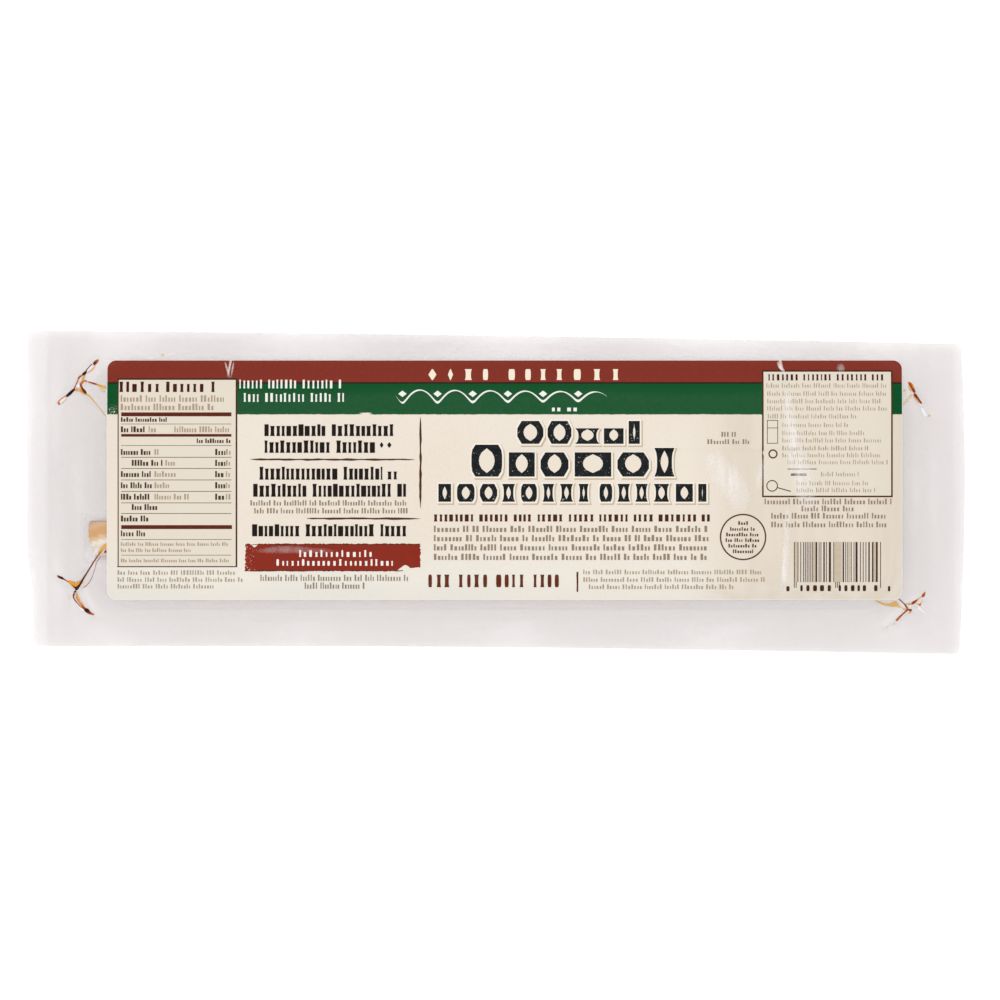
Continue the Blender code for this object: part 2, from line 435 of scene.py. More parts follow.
class Finish:
    """One material under construction: its nodes, and short ways to add the usual ones."""

    def __init__(self, name, **shader_values):
        self.material = bpy.data.materials.new(name)
        self.material.use_nodes = True
        self.tree = self.material.node_tree
        self.shader = self.tree.nodes["Principled BSDF"]
        for key, value in shader_values.items():
            self.shader.inputs[key.replace("_", " ")].default_value = value
        self.spot = None

    def node(self, kind, settings=(), values=(), output=0):
        """Adds a node, sets it up and links it. Gives one of its outputs."""
        made = self.tree.nodes.new("ShaderNode" + kind)
        for key, value in dict(settings).items():
            setattr(made, key, value)
        for key, value in dict(values).items():
            self.feed(made.inputs[key], value)
        return made.outputs[output]

    def feed(self, socket, value):
        if isinstance(value, Value):
            value = value.socket
        if isinstance(value, bpy.types.NodeSocket):
            self.tree.links.new(value, socket)
        else:
            socket.default_value = value

    def math(self, operation, *values):
        return Value(self, self.node("Math", {"operation": operation}, dict(enumerate(values))))

    def axes(self, source=None):
        """The three numbers of a vector: the source, or else the object's place in millimetres."""
        if source is None:
            place = {"Vector": self.node("TexCoord", output="Object"), "Scale": 1 / MM}
            source = self.node("VectorMath", {"operation": "SCALE"}, place)
        self.spot = source
        split = self.tree.nodes.new("ShaderNodeSeparateXYZ")
        self.tree.links.new(source, split.inputs[0])
        return [Value(self, socket) for socket in split.outputs]

    def stretched(self, scale):
        """The place of a point with its axes scaled apart, for streaks."""
        return self.node("Mapping", {}, {"Vector": self.spot, "Scale": scale})

    def noise(self, scale, detail=3.0, roughness=0.5, at=None, distortion=0.0):
        return Value(self, self.node(
            "TexNoise", {},
            {"Vector": at or self.spot, "Scale": scale, "Detail": detail, "Roughness": roughness,
             "Distortion": distortion},
        ))

    def step(self, value, low, high, start=0.0, end=1.0):
        """A smooth step of value between low and high."""
        return Value(self, self.node(
            "MapRange", {"interpolation_type": "SMOOTHSTEP"},
            {"Value": value, "From Min": low, "From Max": high, "To Min": start, "To Max": end},
        ))

    def blend(self, amount, first, second):
        """A colour between the first, where amount is 0, and the second, where it is 1."""
        made = self.tree.nodes.new("ShaderNodeMix")
        made.data_type = "RGBA"
        self.feed(made.inputs["Factor"], amount)
        self.feed(made.inputs["A"], first)
        self.feed(made.inputs["B"], second)
        return made.outputs["Result"]

    def ramp(self, value, stops):
        """A colour from a number, through (place, colour) stops."""
        made = self.tree.nodes.new("ShaderNodeValToRGB")
        band = made.color_ramp
        while len(band.elements) < len(stops):
            band.elements.new(0.5)
        for element, (place, colour) in zip(band.elements, stops):
            element.position, element.color = place, colour
        self.feed(made.inputs["Fac"], value)
        return made.outputs["Color"]

    def attribute(self, name):
        return Value(self, self.node("Attribute", {"attribute_name": name}, output="Fac"))

    def surface(self, **links):
        for key, value in links.items():
            self.feed(self.shader.inputs[key.replace("_", " ")], value)
        return self.material

    def bump(self, height, distance, strength=1.0):
        values = {"Height": height, "Distance": distance, "Strength": strength}
        return self.node("Bump", {}, values, "Normal")


def film_finish(looks):
    """Clear pouch film, a little grey and hazy, more so where it is seen edge on."""
    finish = Finish("clear_film", Roughness=0.2, IOR=1.45, Specular_IOR_Level=0.25)
    finish.axes()
    edge = Value(finish, finish.node("LayerWeight", {}, {"Blend": 0.35}, "Facing"))
    cloud = finish.noise(0.035, detail=2.0)
    grain = finish.noise(0.9, detail=4.0)
    welded = finish.attribute("welded")
    haze = looks.cling_haze + (looks.haze - looks.cling_haze) * welded
    haze = haze + 0.04 * (cloud - 0.5) + 0.15 * edge * edge
    tone = finish.blend(cloud, tuple(looks.tint), lit(242, 236, 235))
    tone = finish.blend(finish.attribute("sealed"), tone, lit(250, 245, 244))
    wrinkle = finish.noise(0.16, detail=2.5, distortion=1.2)
    return finish.surface(
        Base_Color=tone,
        Alpha=haze,
        Roughness=finish.step(grain, 0.2, 0.8, 0.14, 0.3),
        Normal=finish.bump(wrinkle, 0.35 * MM, 0.5),
    )


def bacon_finish(looks):
    """Raw cured slices: lean and fat in long uneven streaks, with a browned outer edge."""
    finish = Finish("bacon", Roughness=0.32, IOR=1.4)
    uv = finish.node("UVMap", {"uv_map": "slice"})
    along, across, _ = finish.axes(uv)
    which = finish.attribute("slice_number")
    coarse_place = {"X": along * 3.2 + which * 7.3, "Y": across * 1.4, "Z": which}
    wander = finish.noise(1.0, detail=3.0, at=finish.node("CombineXYZ", {}, coarse_place))
    fine_place = {"X": along * 16 + which, "Y": across * 22, "Z": which * 3.1}
    fine = finish.noise(1.0, detail=4.0, at=finish.node("CombineXYZ", {}, fine_place))
    streak = across + 0.55 * (wander - 0.5) + 0.10 * (fine - 0.5)
    lean, deep, fat = tuple(looks.lean), tuple(looks.deep_lean), tuple(looks.fat)
    meat = finish.ramp(streak, (
        (0.0, lean), (0.10, lean), (0.15, fat), (0.26, fat), (0.31, lean), (0.42, deep), (0.50, lean),
        (0.55, fat), (0.64, fat), (0.69, lean), (0.80, deep), (0.86, fat),
    ))
    marbled = finish.blend(finish.step(fine, 0.60, 0.72, 0.0, 0.5), meat, fat)
    smoked = finish.step(across + 0.05 * (fine - 0.5), 0.965, 1.0)
    smoked = smoked * finish.step(wander, 0.3, 0.6, 0.25, 0.95)
    return finish.surface(
        Base_Color=finish.blend(smoked, marbled, tuple(looks.smoked)),
        Roughness=finish.step(fine, 0.3, 0.7, 0.24, 0.42),
        Normal=finish.bump(fine + wander, 0.5 * MM, 0.4),
    )


def slice_end_finish():
    """The end of a slice, pale fat with painted white glints below and browned lean above, in soft
    slanting folds.
    """
    finish = Finish("slice_end", Roughness=0.3, IOR=1.4, Specular_IOR_Level=0.3)
    uv = finish.node("UVMap", {"uv_map": "slice"})
    along, upward, _ = finish.axes(uv)
    place = {"X": along * 2.2, "Y": upward * 5.0 + along * 1.6}
    streak = finish.noise(1.6, detail=4.0, at=finish.node("CombineXYZ", {}, place)) - 0.5
    height = upward - 0.22 * along + 0.34 * streak
    # The two near-white stops, at 0.12 and 0.32, are painted glints on the pale fat.
    colour = finish.ramp(height, (
        (0.0, lit(222, 196, 176)), (0.12, lit(255, 252, 248)), (0.22, lit(236, 212, 180)),
        (0.32, lit(252, 246, 238)), (0.40, lit(236, 206, 156)), (0.52, lit(222, 156, 44)),
        (0.66, lit(220, 146, 36)), (0.78, lit(226, 174, 96)), (0.92, lit(206, 156, 128)),
    ))
    browned = finish.step(along + 0.5 * streak, 0.66, 0.92)
    browned = browned * finish.step(upward + 0.3 * streak, 0.45, 0.66)
    colour = finish.blend(browned * 0.85, colour, lit(156, 74, 40))
    blushed = finish.step(along + 0.5 * streak, 0.7, 0.95)
    blushed = blushed * (1 - finish.step(upward, 0.12, 0.3))
    colour = finish.blend(blushed * 0.7, colour, lit(216, 150, 130))
    rim = finish.step(upward, 0.95, 0.985) + finish.step(upward, 0.05, 0.0)
    colour = finish.blend(rim * 0.7, colour, lit(168, 104, 82))
    return finish.surface(Base_Color=colour, Normal=finish.bump(streak, 0.4 * MM, 0.5))


def juice_finish():
    """Cured meat juice drawn into the folds: pale gold where thin, red-brown to black where deep, and
    painted white highlights at the bottom of the scale.
    """
    finish = Finish("juice", Roughness=0.12, IOR=1.36, Specular_IOR_Level=0.2)
    finish.axes()
    depth_and_glint = finish.attribute("depth_and_glint") + 0.05 * (finish.noise(0.8, detail=2.0) - 0.5)
    # The white stops near 0 are painted highlights in the folds, not juice.
    colour = finish.ramp(depth_and_glint, (
        (0.0, lit(252, 251, 252)), (0.10, lit(250, 244, 236)), (0.2, lit(236, 212, 150)),
        (0.33, lit(226, 180, 84)), (0.42, lit(240, 166, 36)), (0.54, lit(206, 106, 18)),
        (0.70, lit(158, 66, 12)), (0.86, lit(96, 28, 8)), (1.0, lit(46, 12, 8)),
    ))
    solid = finish.ramp(depth_and_glint, (
        (0.0, (0.75, 0.75, 0.75, 1)), (0.16, (0.35, 0.35, 0.35, 1)), (0.26, (0.55, 0.55, 0.55, 1)),
        (0.42, (0.8, 0.8, 0.8, 1)), (0.55, (0.95, 0.95, 0.95, 1)), (0.75, (1, 1, 1, 1)),
    ))
    return finish.surface(Base_Color=colour, Alpha=solid)


def paper_finish():
    """The label's bare paper, which shows at its cut edges."""
    finish = Finish("label_paper", Roughness=0.5)
    finish.axes()
    fibre = finish.noise(1.6, detail=4.0)
    return finish.surface(
        Base_Color=finish.blend(fibre, lit(244, 241, 236), lit(252, 250, 247)),
        Normal=finish.bump(fibre, 0.03 * MM, 0.4),
    )


def label_places(finish):
    """The place on the label, in millimetres from its upper left corner."""
    x, y, _ = finish.axes()
    return x - LABEL_LEFT, LABEL_FAR - y


def ground_finish(looks):
    """The label's printed ground: cream with a brown-red and a green band, worn specks, painted
    highlights along two creases and painted shade towards its right end.
    """
    finish = Finish("label_ground", Roughness=0.4, IOR=1.45, Specular_IOR_Level=LABEL_SHINE)
    across, down = label_places(finish)
    cloud = finish.noise(0.022, detail=3.0)
    speck = finish.noise(1.1, detail=4.0)
    ragged = finish.noise(0.55, detail=3.0, roughness=0.7) - 0.5
    cream = finish.blend(finish.step(down, 60, 82), tuple(looks.cream), tuple(looks.pale_cream))
    cream = finish.blend(finish.step(cloud, 0.35, 0.65, 0.0, 0.35), cream, lit(238, 229, 216))
    cream = finish.blend(finish.step(speck, 0.35, 0.8, 0.0, 0.10), cream, lit(206, 190, 166))
    # Painted shade: the cream darkens in soft upright bands towards the right end, where the label
    # slopes down and away from the light.
    bands = finish.noise(1.0, detail=2.0, at=finish.stretched((0.16, 0.02, 1.0)))
    painted_shade_right = finish.step(across, 206, 226) * finish.step(bands, 0.3, 0.7, 0.55, 1.0)
    cream = finish.blend(painted_shade_right, cream, lit(221, 209, 193))
    lower = down + 0.5 * ragged
    green = 1 - finish.step(lower, 19.35, 19.6)
    brown = 1 - finish.step(down + 0.25 * ragged, 8.05, 8.25)
    seam = finish.step(down + 0.25 * ragged, 7.8, 7.95)
    seam = seam * (1 - finish.step(down + 0.25 * ragged, 8.4, 8.6))
    nick = 1 - finish.step(finish.math("ABSOLUTE", across - 92.6), 0.9, 2.6)
    nick = nick * finish.step(lower, 18.7, 19.0)
    mottled = finish.step(speck, 0.3, 0.75)
    leaf = finish.blend(mottled, tuple(looks.green), lit(2, 80, 38))
    clay = finish.blend(mottled, tuple(looks.brown), lit(126, 45, 34))
    worn = (1 - finish.step(across, 3.6, 4.2)) * finish.step(down, 15.5, 18.5)
    worn = worn * finish.step(finish.noise(1.9, detail=3.0, roughness=0.7), 0.56, 0.60)
    # Painted highlights: the ground is paled along two creases near its top edge, where the folded film
    # catches the light. The worn specks at the left edge take the same pale colour.
    left_crease = finish.math("ABSOLUTE", across - 44.3 + 0.18 * down)
    right_crease = finish.math("ABSOLUTE", across - 240.8 - 0.22 * down)
    top = 1 - finish.step(down, 3.5, 6.5)
    rubbed = (1 - finish.step(left_crease, 0.15, 0.55)) * top * 0.75
    rubbed = rubbed + (1 - finish.step(right_crease, 0.2, 0.7)) * top * 0.75
    colour = finish.blend(green * (1 - nick), cream, leaf)
    colour = finish.blend(brown, colour, clay)
    colour = finish.blend(seam * 0.85, colour, lit(36, 20, 12))
    colour = finish.blend(finish.math("MINIMUM", rubbed + worn, 1.0), colour, lit(236, 222, 214))
    return finish.surface(
        Base_Color=colour,
        Roughness=finish.step(speck, 0.3, 0.7, 0.34, 0.46),
        Normal=finish.bump(speck, 0.02 * MM, 0.35),
    )


def ink_finish(name, colour, wear=0.0, under=(0.6, 0.55, 0.47, 1.0), scale=1.4, tone=0.06):
    """Printed ink: one colour, slightly uneven, and rubbed through to the ground where worn."""
    finish = Finish(name, Roughness=0.42, IOR=1.45, Specular_IOR_Level=INK_SHINE)
    finish.axes()
    patch = finish.noise(0.5, detail=3.0)
    lighter = tuple(mix(value, 1.0, 0.1) for value in colour[:3]) + (1.0,)
    inked = finish.blend(finish.step(patch, 0.3, 0.75, 0.0, tone * 2), colour, lighter)
    if wear:
        rub = finish.noise(scale, detail=5.0, roughness=0.72)
        inked = finish.blend(finish.step(rub, 0.66 - wear, 0.70 - wear), inked, under)
    return finish.surface(Base_Color=inked, Roughness=finish.step(patch, 0.3, 0.7, 0.36, 0.5))


def patch_finish():
    """The red patch, rubbed to pale specks at its left end."""
    finish = Finish("patch_red", Roughness=0.42, IOR=1.45, Specular_IOR_Level=LABEL_SHINE)
    across, down = label_places(finish)
    patch = finish.noise(0.5, detail=3.0)
    rub = finish.noise(1.5, detail=4.0, roughness=0.7)
    left = 1 - finish.step(across, 51.0, 56.0)
    gone = finish.step(rub + 0.13 * left + 0.004 * (down - 68), 0.74, 0.77)
    red = finish.blend(finish.step(patch, 0.3, 0.75), lit(128, 26, 2), lit(144, 36, 8))
    return finish.surface(
        Base_Color=finish.blend(gone, red, lit(232, 216, 200)),
        Roughness=finish.step(patch, 0.3, 0.7, 0.36, 0.5),
    )


def painted_glint_finish():
    """A painted whitish highlight where the clear film over the label is creased."""
    finish = Finish("film_painted_glint", Roughness=0.25, Specular_IOR_Level=0.3)
    finish.axes()
    streaks = finish.noise(1.0, detail=2.0, at=finish.stretched((0.45, 0.07, 1.0)))
    break_up = finish.step(streaks, 0.3, 0.7, 0.5, 1.0)
    shine = finish.attribute("shine") * break_up * 0.8
    white = finish.blend(break_up, lit(246, 236, 232), lit(252, 248, 246))
    return finish.surface(Base_Color=white, Alpha=shine)


# The pouch


def stations(sides, corner_steps):
    """Stations round any rounded rectangle, anticlockwise: the share of its straight half sides at
    which each lies, and the bearing from there to the edge. The last one is the first again."""
    found = []
    for quarter, (corner_x, corner_y) in enumerate(((1, 1), (-1, 1), (-1, -1), (1, -1))):
        start, steps = 90 * quarter, sides[quarter % 2]
        found += [(corner_x, corner_y, start + 90 * n / corner_steps) for n in range(corner_steps + 1)]
        for step in range(1, steps):
            share = 1 - 2 * step / steps
            shares = (corner_x * share, corner_y) if quarter % 2 == 0 else (corner_x, corner_y * share)
            found.append((*shares, start + 90))
    return np.array(found + found[:1])


def rounded(around, half_x, half_y, corner, square=False):
    """Where stations lie on a rounded rectangle, or on a square-cornered one of the same size."""
    turn_x, turn_y = np.cos(np.radians(around[:, 2])), np.sin(np.radians(around[:, 2]))
    if square:
        longest = np.maximum(np.abs(turn_x), np.abs(turn_y))
        turn_x, turn_y = turn_x / longest, turn_y / longest
    x = around[:, 0] * (half_x - corner) + corner * turn_x
    return x, around[:, 1] * (half_y - corner) + corner * turn_y


def pouch_outline(around):
    """Where stations lie on the pouch's sloping, bowed outline with its small round corners."""
    x, y = rounded(around, END_REACH, SIDE_REACH, SQUARE_CORNER, square=True)
    along = np.clip((np.abs(x) - (END_REACH - POUCH_CORNER)) / POUCH_CORNER, 0, 1)
    across = np.clip((np.abs(y) - (SIDE_REACH - POUCH_CORNER)) / POUCH_CORNER, 0, 1)
    in_corner = np.minimum(along, across) > 0
    arc_x = END_REACH - POUCH_CORNER * (1 - along * np.sqrt(1 - across**2 / 2))
    arc_y = SIDE_REACH - POUCH_CORNER * (1 - across * np.sqrt(1 - along**2 / 2))
    x = np.where(in_corner, np.copysign(arc_x, x), x)
    y = np.where(in_corner, np.copysign(arc_y, y), y)

    def trimmed(edge):
        return edge["middle"] + edge["slope"] * x + edge["bow"] * np.cos(math.pi * x / (2 * END_REACH))

    new_y = np.where(y > 0, trimmed(FAR_EDGE), trimmed(NEAR_EDGE))
    left = LEFT_EDGE + LEFT_STEP["size"] * smooth((LEFT_STEP["from"] - y) / LEFT_STEP["run"])
    right = RIGHT_EDGE - RIGHT_BOW["size"] * ((y - RIGHT_BOW["centre"]) / RIGHT_BOW["half"]) ** 2
    near_end = smooth(1 - (END_REACH - np.abs(x)) / OUTLINE_FADE)
    near_side = smooth(1 - (SIDE_REACH - np.abs(y)) / OUTLINE_FADE)
    moved_x = x + (np.where(x < 0, left, right) - np.copysign(END_REACH, x)) * near_end
    return moved_x, y + (new_y - np.copysign(SIDE_REACH, y)) * near_side


def slab_ring(around, offset):
    """Where stations lie on the slab's outline moved outwards by offset."""
    half_x, half_y = SLAB["length"] / 2 + offset, SLAB["width"] / 2 + offset
    x, y = rounded(around, half_x, half_y, SLAB["corner"] + offset)
    return SLAB["centre"][0] + x, SLAB["centre"][1] + y


def under_label(x, y):
    """How far the film lies below its modelled height so that the label's relief clears it."""
    return ROOM_UNDER_LABEL * smooth((-beyond(x, y, LABEL) - 0.3 * MM) / ROOM_FADE)


def film_wrinkles(x, y):
    """Fine unevenness of the free film: shallow ripples along the rim, none at its very edge."""
    outward = beyond(x, y, SLAB)
    free = smooth((outward + 4 * MM) / (6 * MM))
    fine = RIPPLE_HEIGHT * ripples(x, y, seed=3, length=23 * MM)
    bands = BAND_HEIGHT * np.cos(2 * math.pi * (np.abs(x) - 150 * MM) / BAND_PITCH)
    ends = smooth((np.abs(x) - 149 * MM) / (6 * MM))
    return free * (fine + bands * ends)


def pouch_skin():
    """The pouch's skin as one grid rolled up: its columns run round the pouch, and its rows from the
    middle of the upper film, over the rim, to the middle of the lower film."""
    around = stations(POUCH_SIDES, CORNER_STEPS)
    rings = []
    outline, wall = pouch_outline(around), slab_ring(around, WALL_OUTER)
    for step in range(SHOULDER_RINGS):
        x, y = slab_ring(around, mix(SHOULDER_INNER, WALL_OUTER, step / SHOULDER_RINGS))
        rings.append((x, y, upper_film(x, y) + film_wrinkles(x, y) - under_label(x, y)))
    under = []
    for step in range(RIM_RINGS + 1):
        x, y = (mix(wall[axis], outline[axis], step / RIM_RINGS) for axis in (0, 1))
        rings.append((x, y, upper_film(x, y) + film_wrinkles(x, y) - under_label(x, y)))
        under.append((x, y, lower_film(x, y) + film_wrinkles(x, y)))
    for step in range(1, WALL_RINGS + 1):
        turn = math.pi / 2 * step / WALL_RINGS
        x, y = slab_ring(around, mix(WALL_OUTER, WALL_INNER, 1 - math.cos(turn)))
        under.insert(0, (x, y, lower_film(x, y)))
    rings += under[::-1]
    piece, column, row = grid("pouch_film", len(around) - 1, len(rings) - 1)
    stacked = np.array(rings)
    places = stacked[row, :, column]
    place_points(piece, places)
    x, y = places[:, 0], places[:, 1]
    upper = row <= SHOULDER_RINGS + RIM_RINGS
    welded = np.where(upper, 1.0, smooth((beyond(x, y, SLAB) - 1.5 * MM) / (2 * MM)))
    store_numbers(piece, "welded", welded * (1 - 0.9 * smooth((tongue(x, y) - 0.45) / 0.4)))
    left_seal = smooth((SEALS_START[0] - x) / SEAL_FADE)
    right_seal = smooth((x - SEALS_START[1]) / SEAL_FADE)
    store_numbers(piece, "sealed", left_seal + 0.5 * right_seal)
    merge_doubles(piece)
    fill_holes(piece)
    face_outwards(piece)
    shade_smooth(piece, angle=60)
    return piece


# The slices

LAYERS = 8
SLICE_STEPS = (96, 14)
SLICE_ENDS = (-139.0 * MM, 142.6 * MM)
LAYER_HEIGHT = (SLAB_TOP - 2.0 * MM) / LAYERS


def wall_reach(height):
    """How far inside the slab's outline the pouch's wall stands at a height, with a little room."""
    share = np.clip(height / (RIM_LEVEL - RIM_THICKNESS / 2), 0, 1)
    inward = 1 - np.sqrt(1 - (1 - share) ** 2)
    return mix(WALL_OUTER, WALL_INNER, inward)


def slice_piece(number, side, layer, rng):
    """One slice: a long flat strip with ragged ends, lying in its layer and trimmed by the wall."""
    columns, rows = SLICE_STEPS
    piece, column, row = grid(f"slice_{number:02d}", columns, rows)
    along, across = column / columns, row / rows
    middle = (layer + 0.5) * LAYER_HEIGHT + 0.3 * MM
    inset = np.minimum(wall_reach(middle - 0.4 * LAYER_HEIGHT), -1.9 * MM) - rng.uniform(0.1, 0.7) * MM
    outer = SLAB["centre"][1] + side * (SLAB["width"] / 2 + inset)
    inner = SLAB["centre"][1] + rng.uniform(-0.6, 0.6) * MM + side * 0.4 * MM
    left = SLICE_ENDS[0] + rng.uniform(0.6, 3.5) * MM - inset * 0.55
    right = SLICE_ENDS[1] - rng.uniform(0.4, 4.0) * MM + inset * 0.75
    end_wave = 1.1 * MM * np.sin(across * rng.uniform(3, 6) + rng.uniform(0, 6))
    corner = 3.5 * MM * (np.abs(2 * across - 1) ** 3)
    start, stop = left + end_wave + corner, right + end_wave - corner
    x = mix(start, stop, along)
    edge_wave = 0.5 * MM * np.sin(along * rng.uniform(9, 15) + rng.uniform(0, 6))
    y = mix(inner, outer + edge_wave * side, across)
    z = middle + 0.12 * MM * ripples(x, y, seed=100 + number, length=50 * MM, octaves=2)
    ceiling = upper_film(x, y) - under_label(x, y) - 0.55 * LAYER_HEIGHT - 0.15 * MM
    floor = lower_film(x, y) + 0.55 * LAYER_HEIGHT + 0.12 * MM
    z = np.maximum(np.minimum(z, ceiling), floor)
    place_points(piece, np.stack([x, y, z], 1))
    store_slice_layout(piece, along, across)
    store_numbers(piece, "slice_number", np.full(len(x), number + rng.uniform(0, 0.5)))
    if side < 0:
        edit_all(piece, bpy.ops.mesh.flip_normals)
    apply_modifier(piece, "SOLIDIFY", thickness=LAYER_HEIGHT * 0.94, offset=0.0)
    return piece


# The slice end that shows past the label: its left edge as (y, x) from its lower to its upper corner
SLICE_END_EDGE = ((-23.2, -139.6), (-22.9, -141.6), (-21.8, -143.6), (-19.4, -144.8), (-16.0, -145.7),
                  (-12.5, -145.8), (-10.6, -145.5), (-10.2, -144.9))
SLICE_END_RIGHT = -136.8 * MM


def slice_end():
    """The curled end of one top slice that reaches out past the label."""
    columns, rows = 44, 60
    piece, column, row = grid("slice_end", columns, rows)
    along, upward = column / columns, row / rows
    edge = np.array(SLICE_END_EDGE) * MM
    y = mix(edge[0, 0], edge[-1, 0], upward)
    left = np.interp(y, edge[:, 0], edge[:, 1]) + 0.12 * MM * np.sin(upward * 41)
    x = mix(left, SLICE_END_RIGHT, along)
    fold = 0.16 * MM * ripples(x, y, seed=44, length=6 * MM, octaves=2)
    z = upper_film(x, y) - 0.42 * MM + fold * smooth(along * 6) - 0.35 * MM * (1 - along) ** 6
    place_points(piece, np.stack([x, y, z], 1))
    store_slice_layout(piece, along, upward)
    apply_modifier(piece, "SOLIDIFY", thickness=0.9 * MM, offset=-1.0)
    shade_smooth(piece, angle=60)
    return piece


def slices():
    """All the slices, two to a layer, one on each side of the middle."""
    rng = random.Random(16)
    made, number = [], 0
    for layer in range(LAYERS):
        for side in (-1, 1):
            number += 1
            made.append(slice_piece(number, side, layer, rng))
    piece = join("bacon_slices", made)
    face_outwards(piece)
    shade_smooth(piece, angle=50)
    return piece
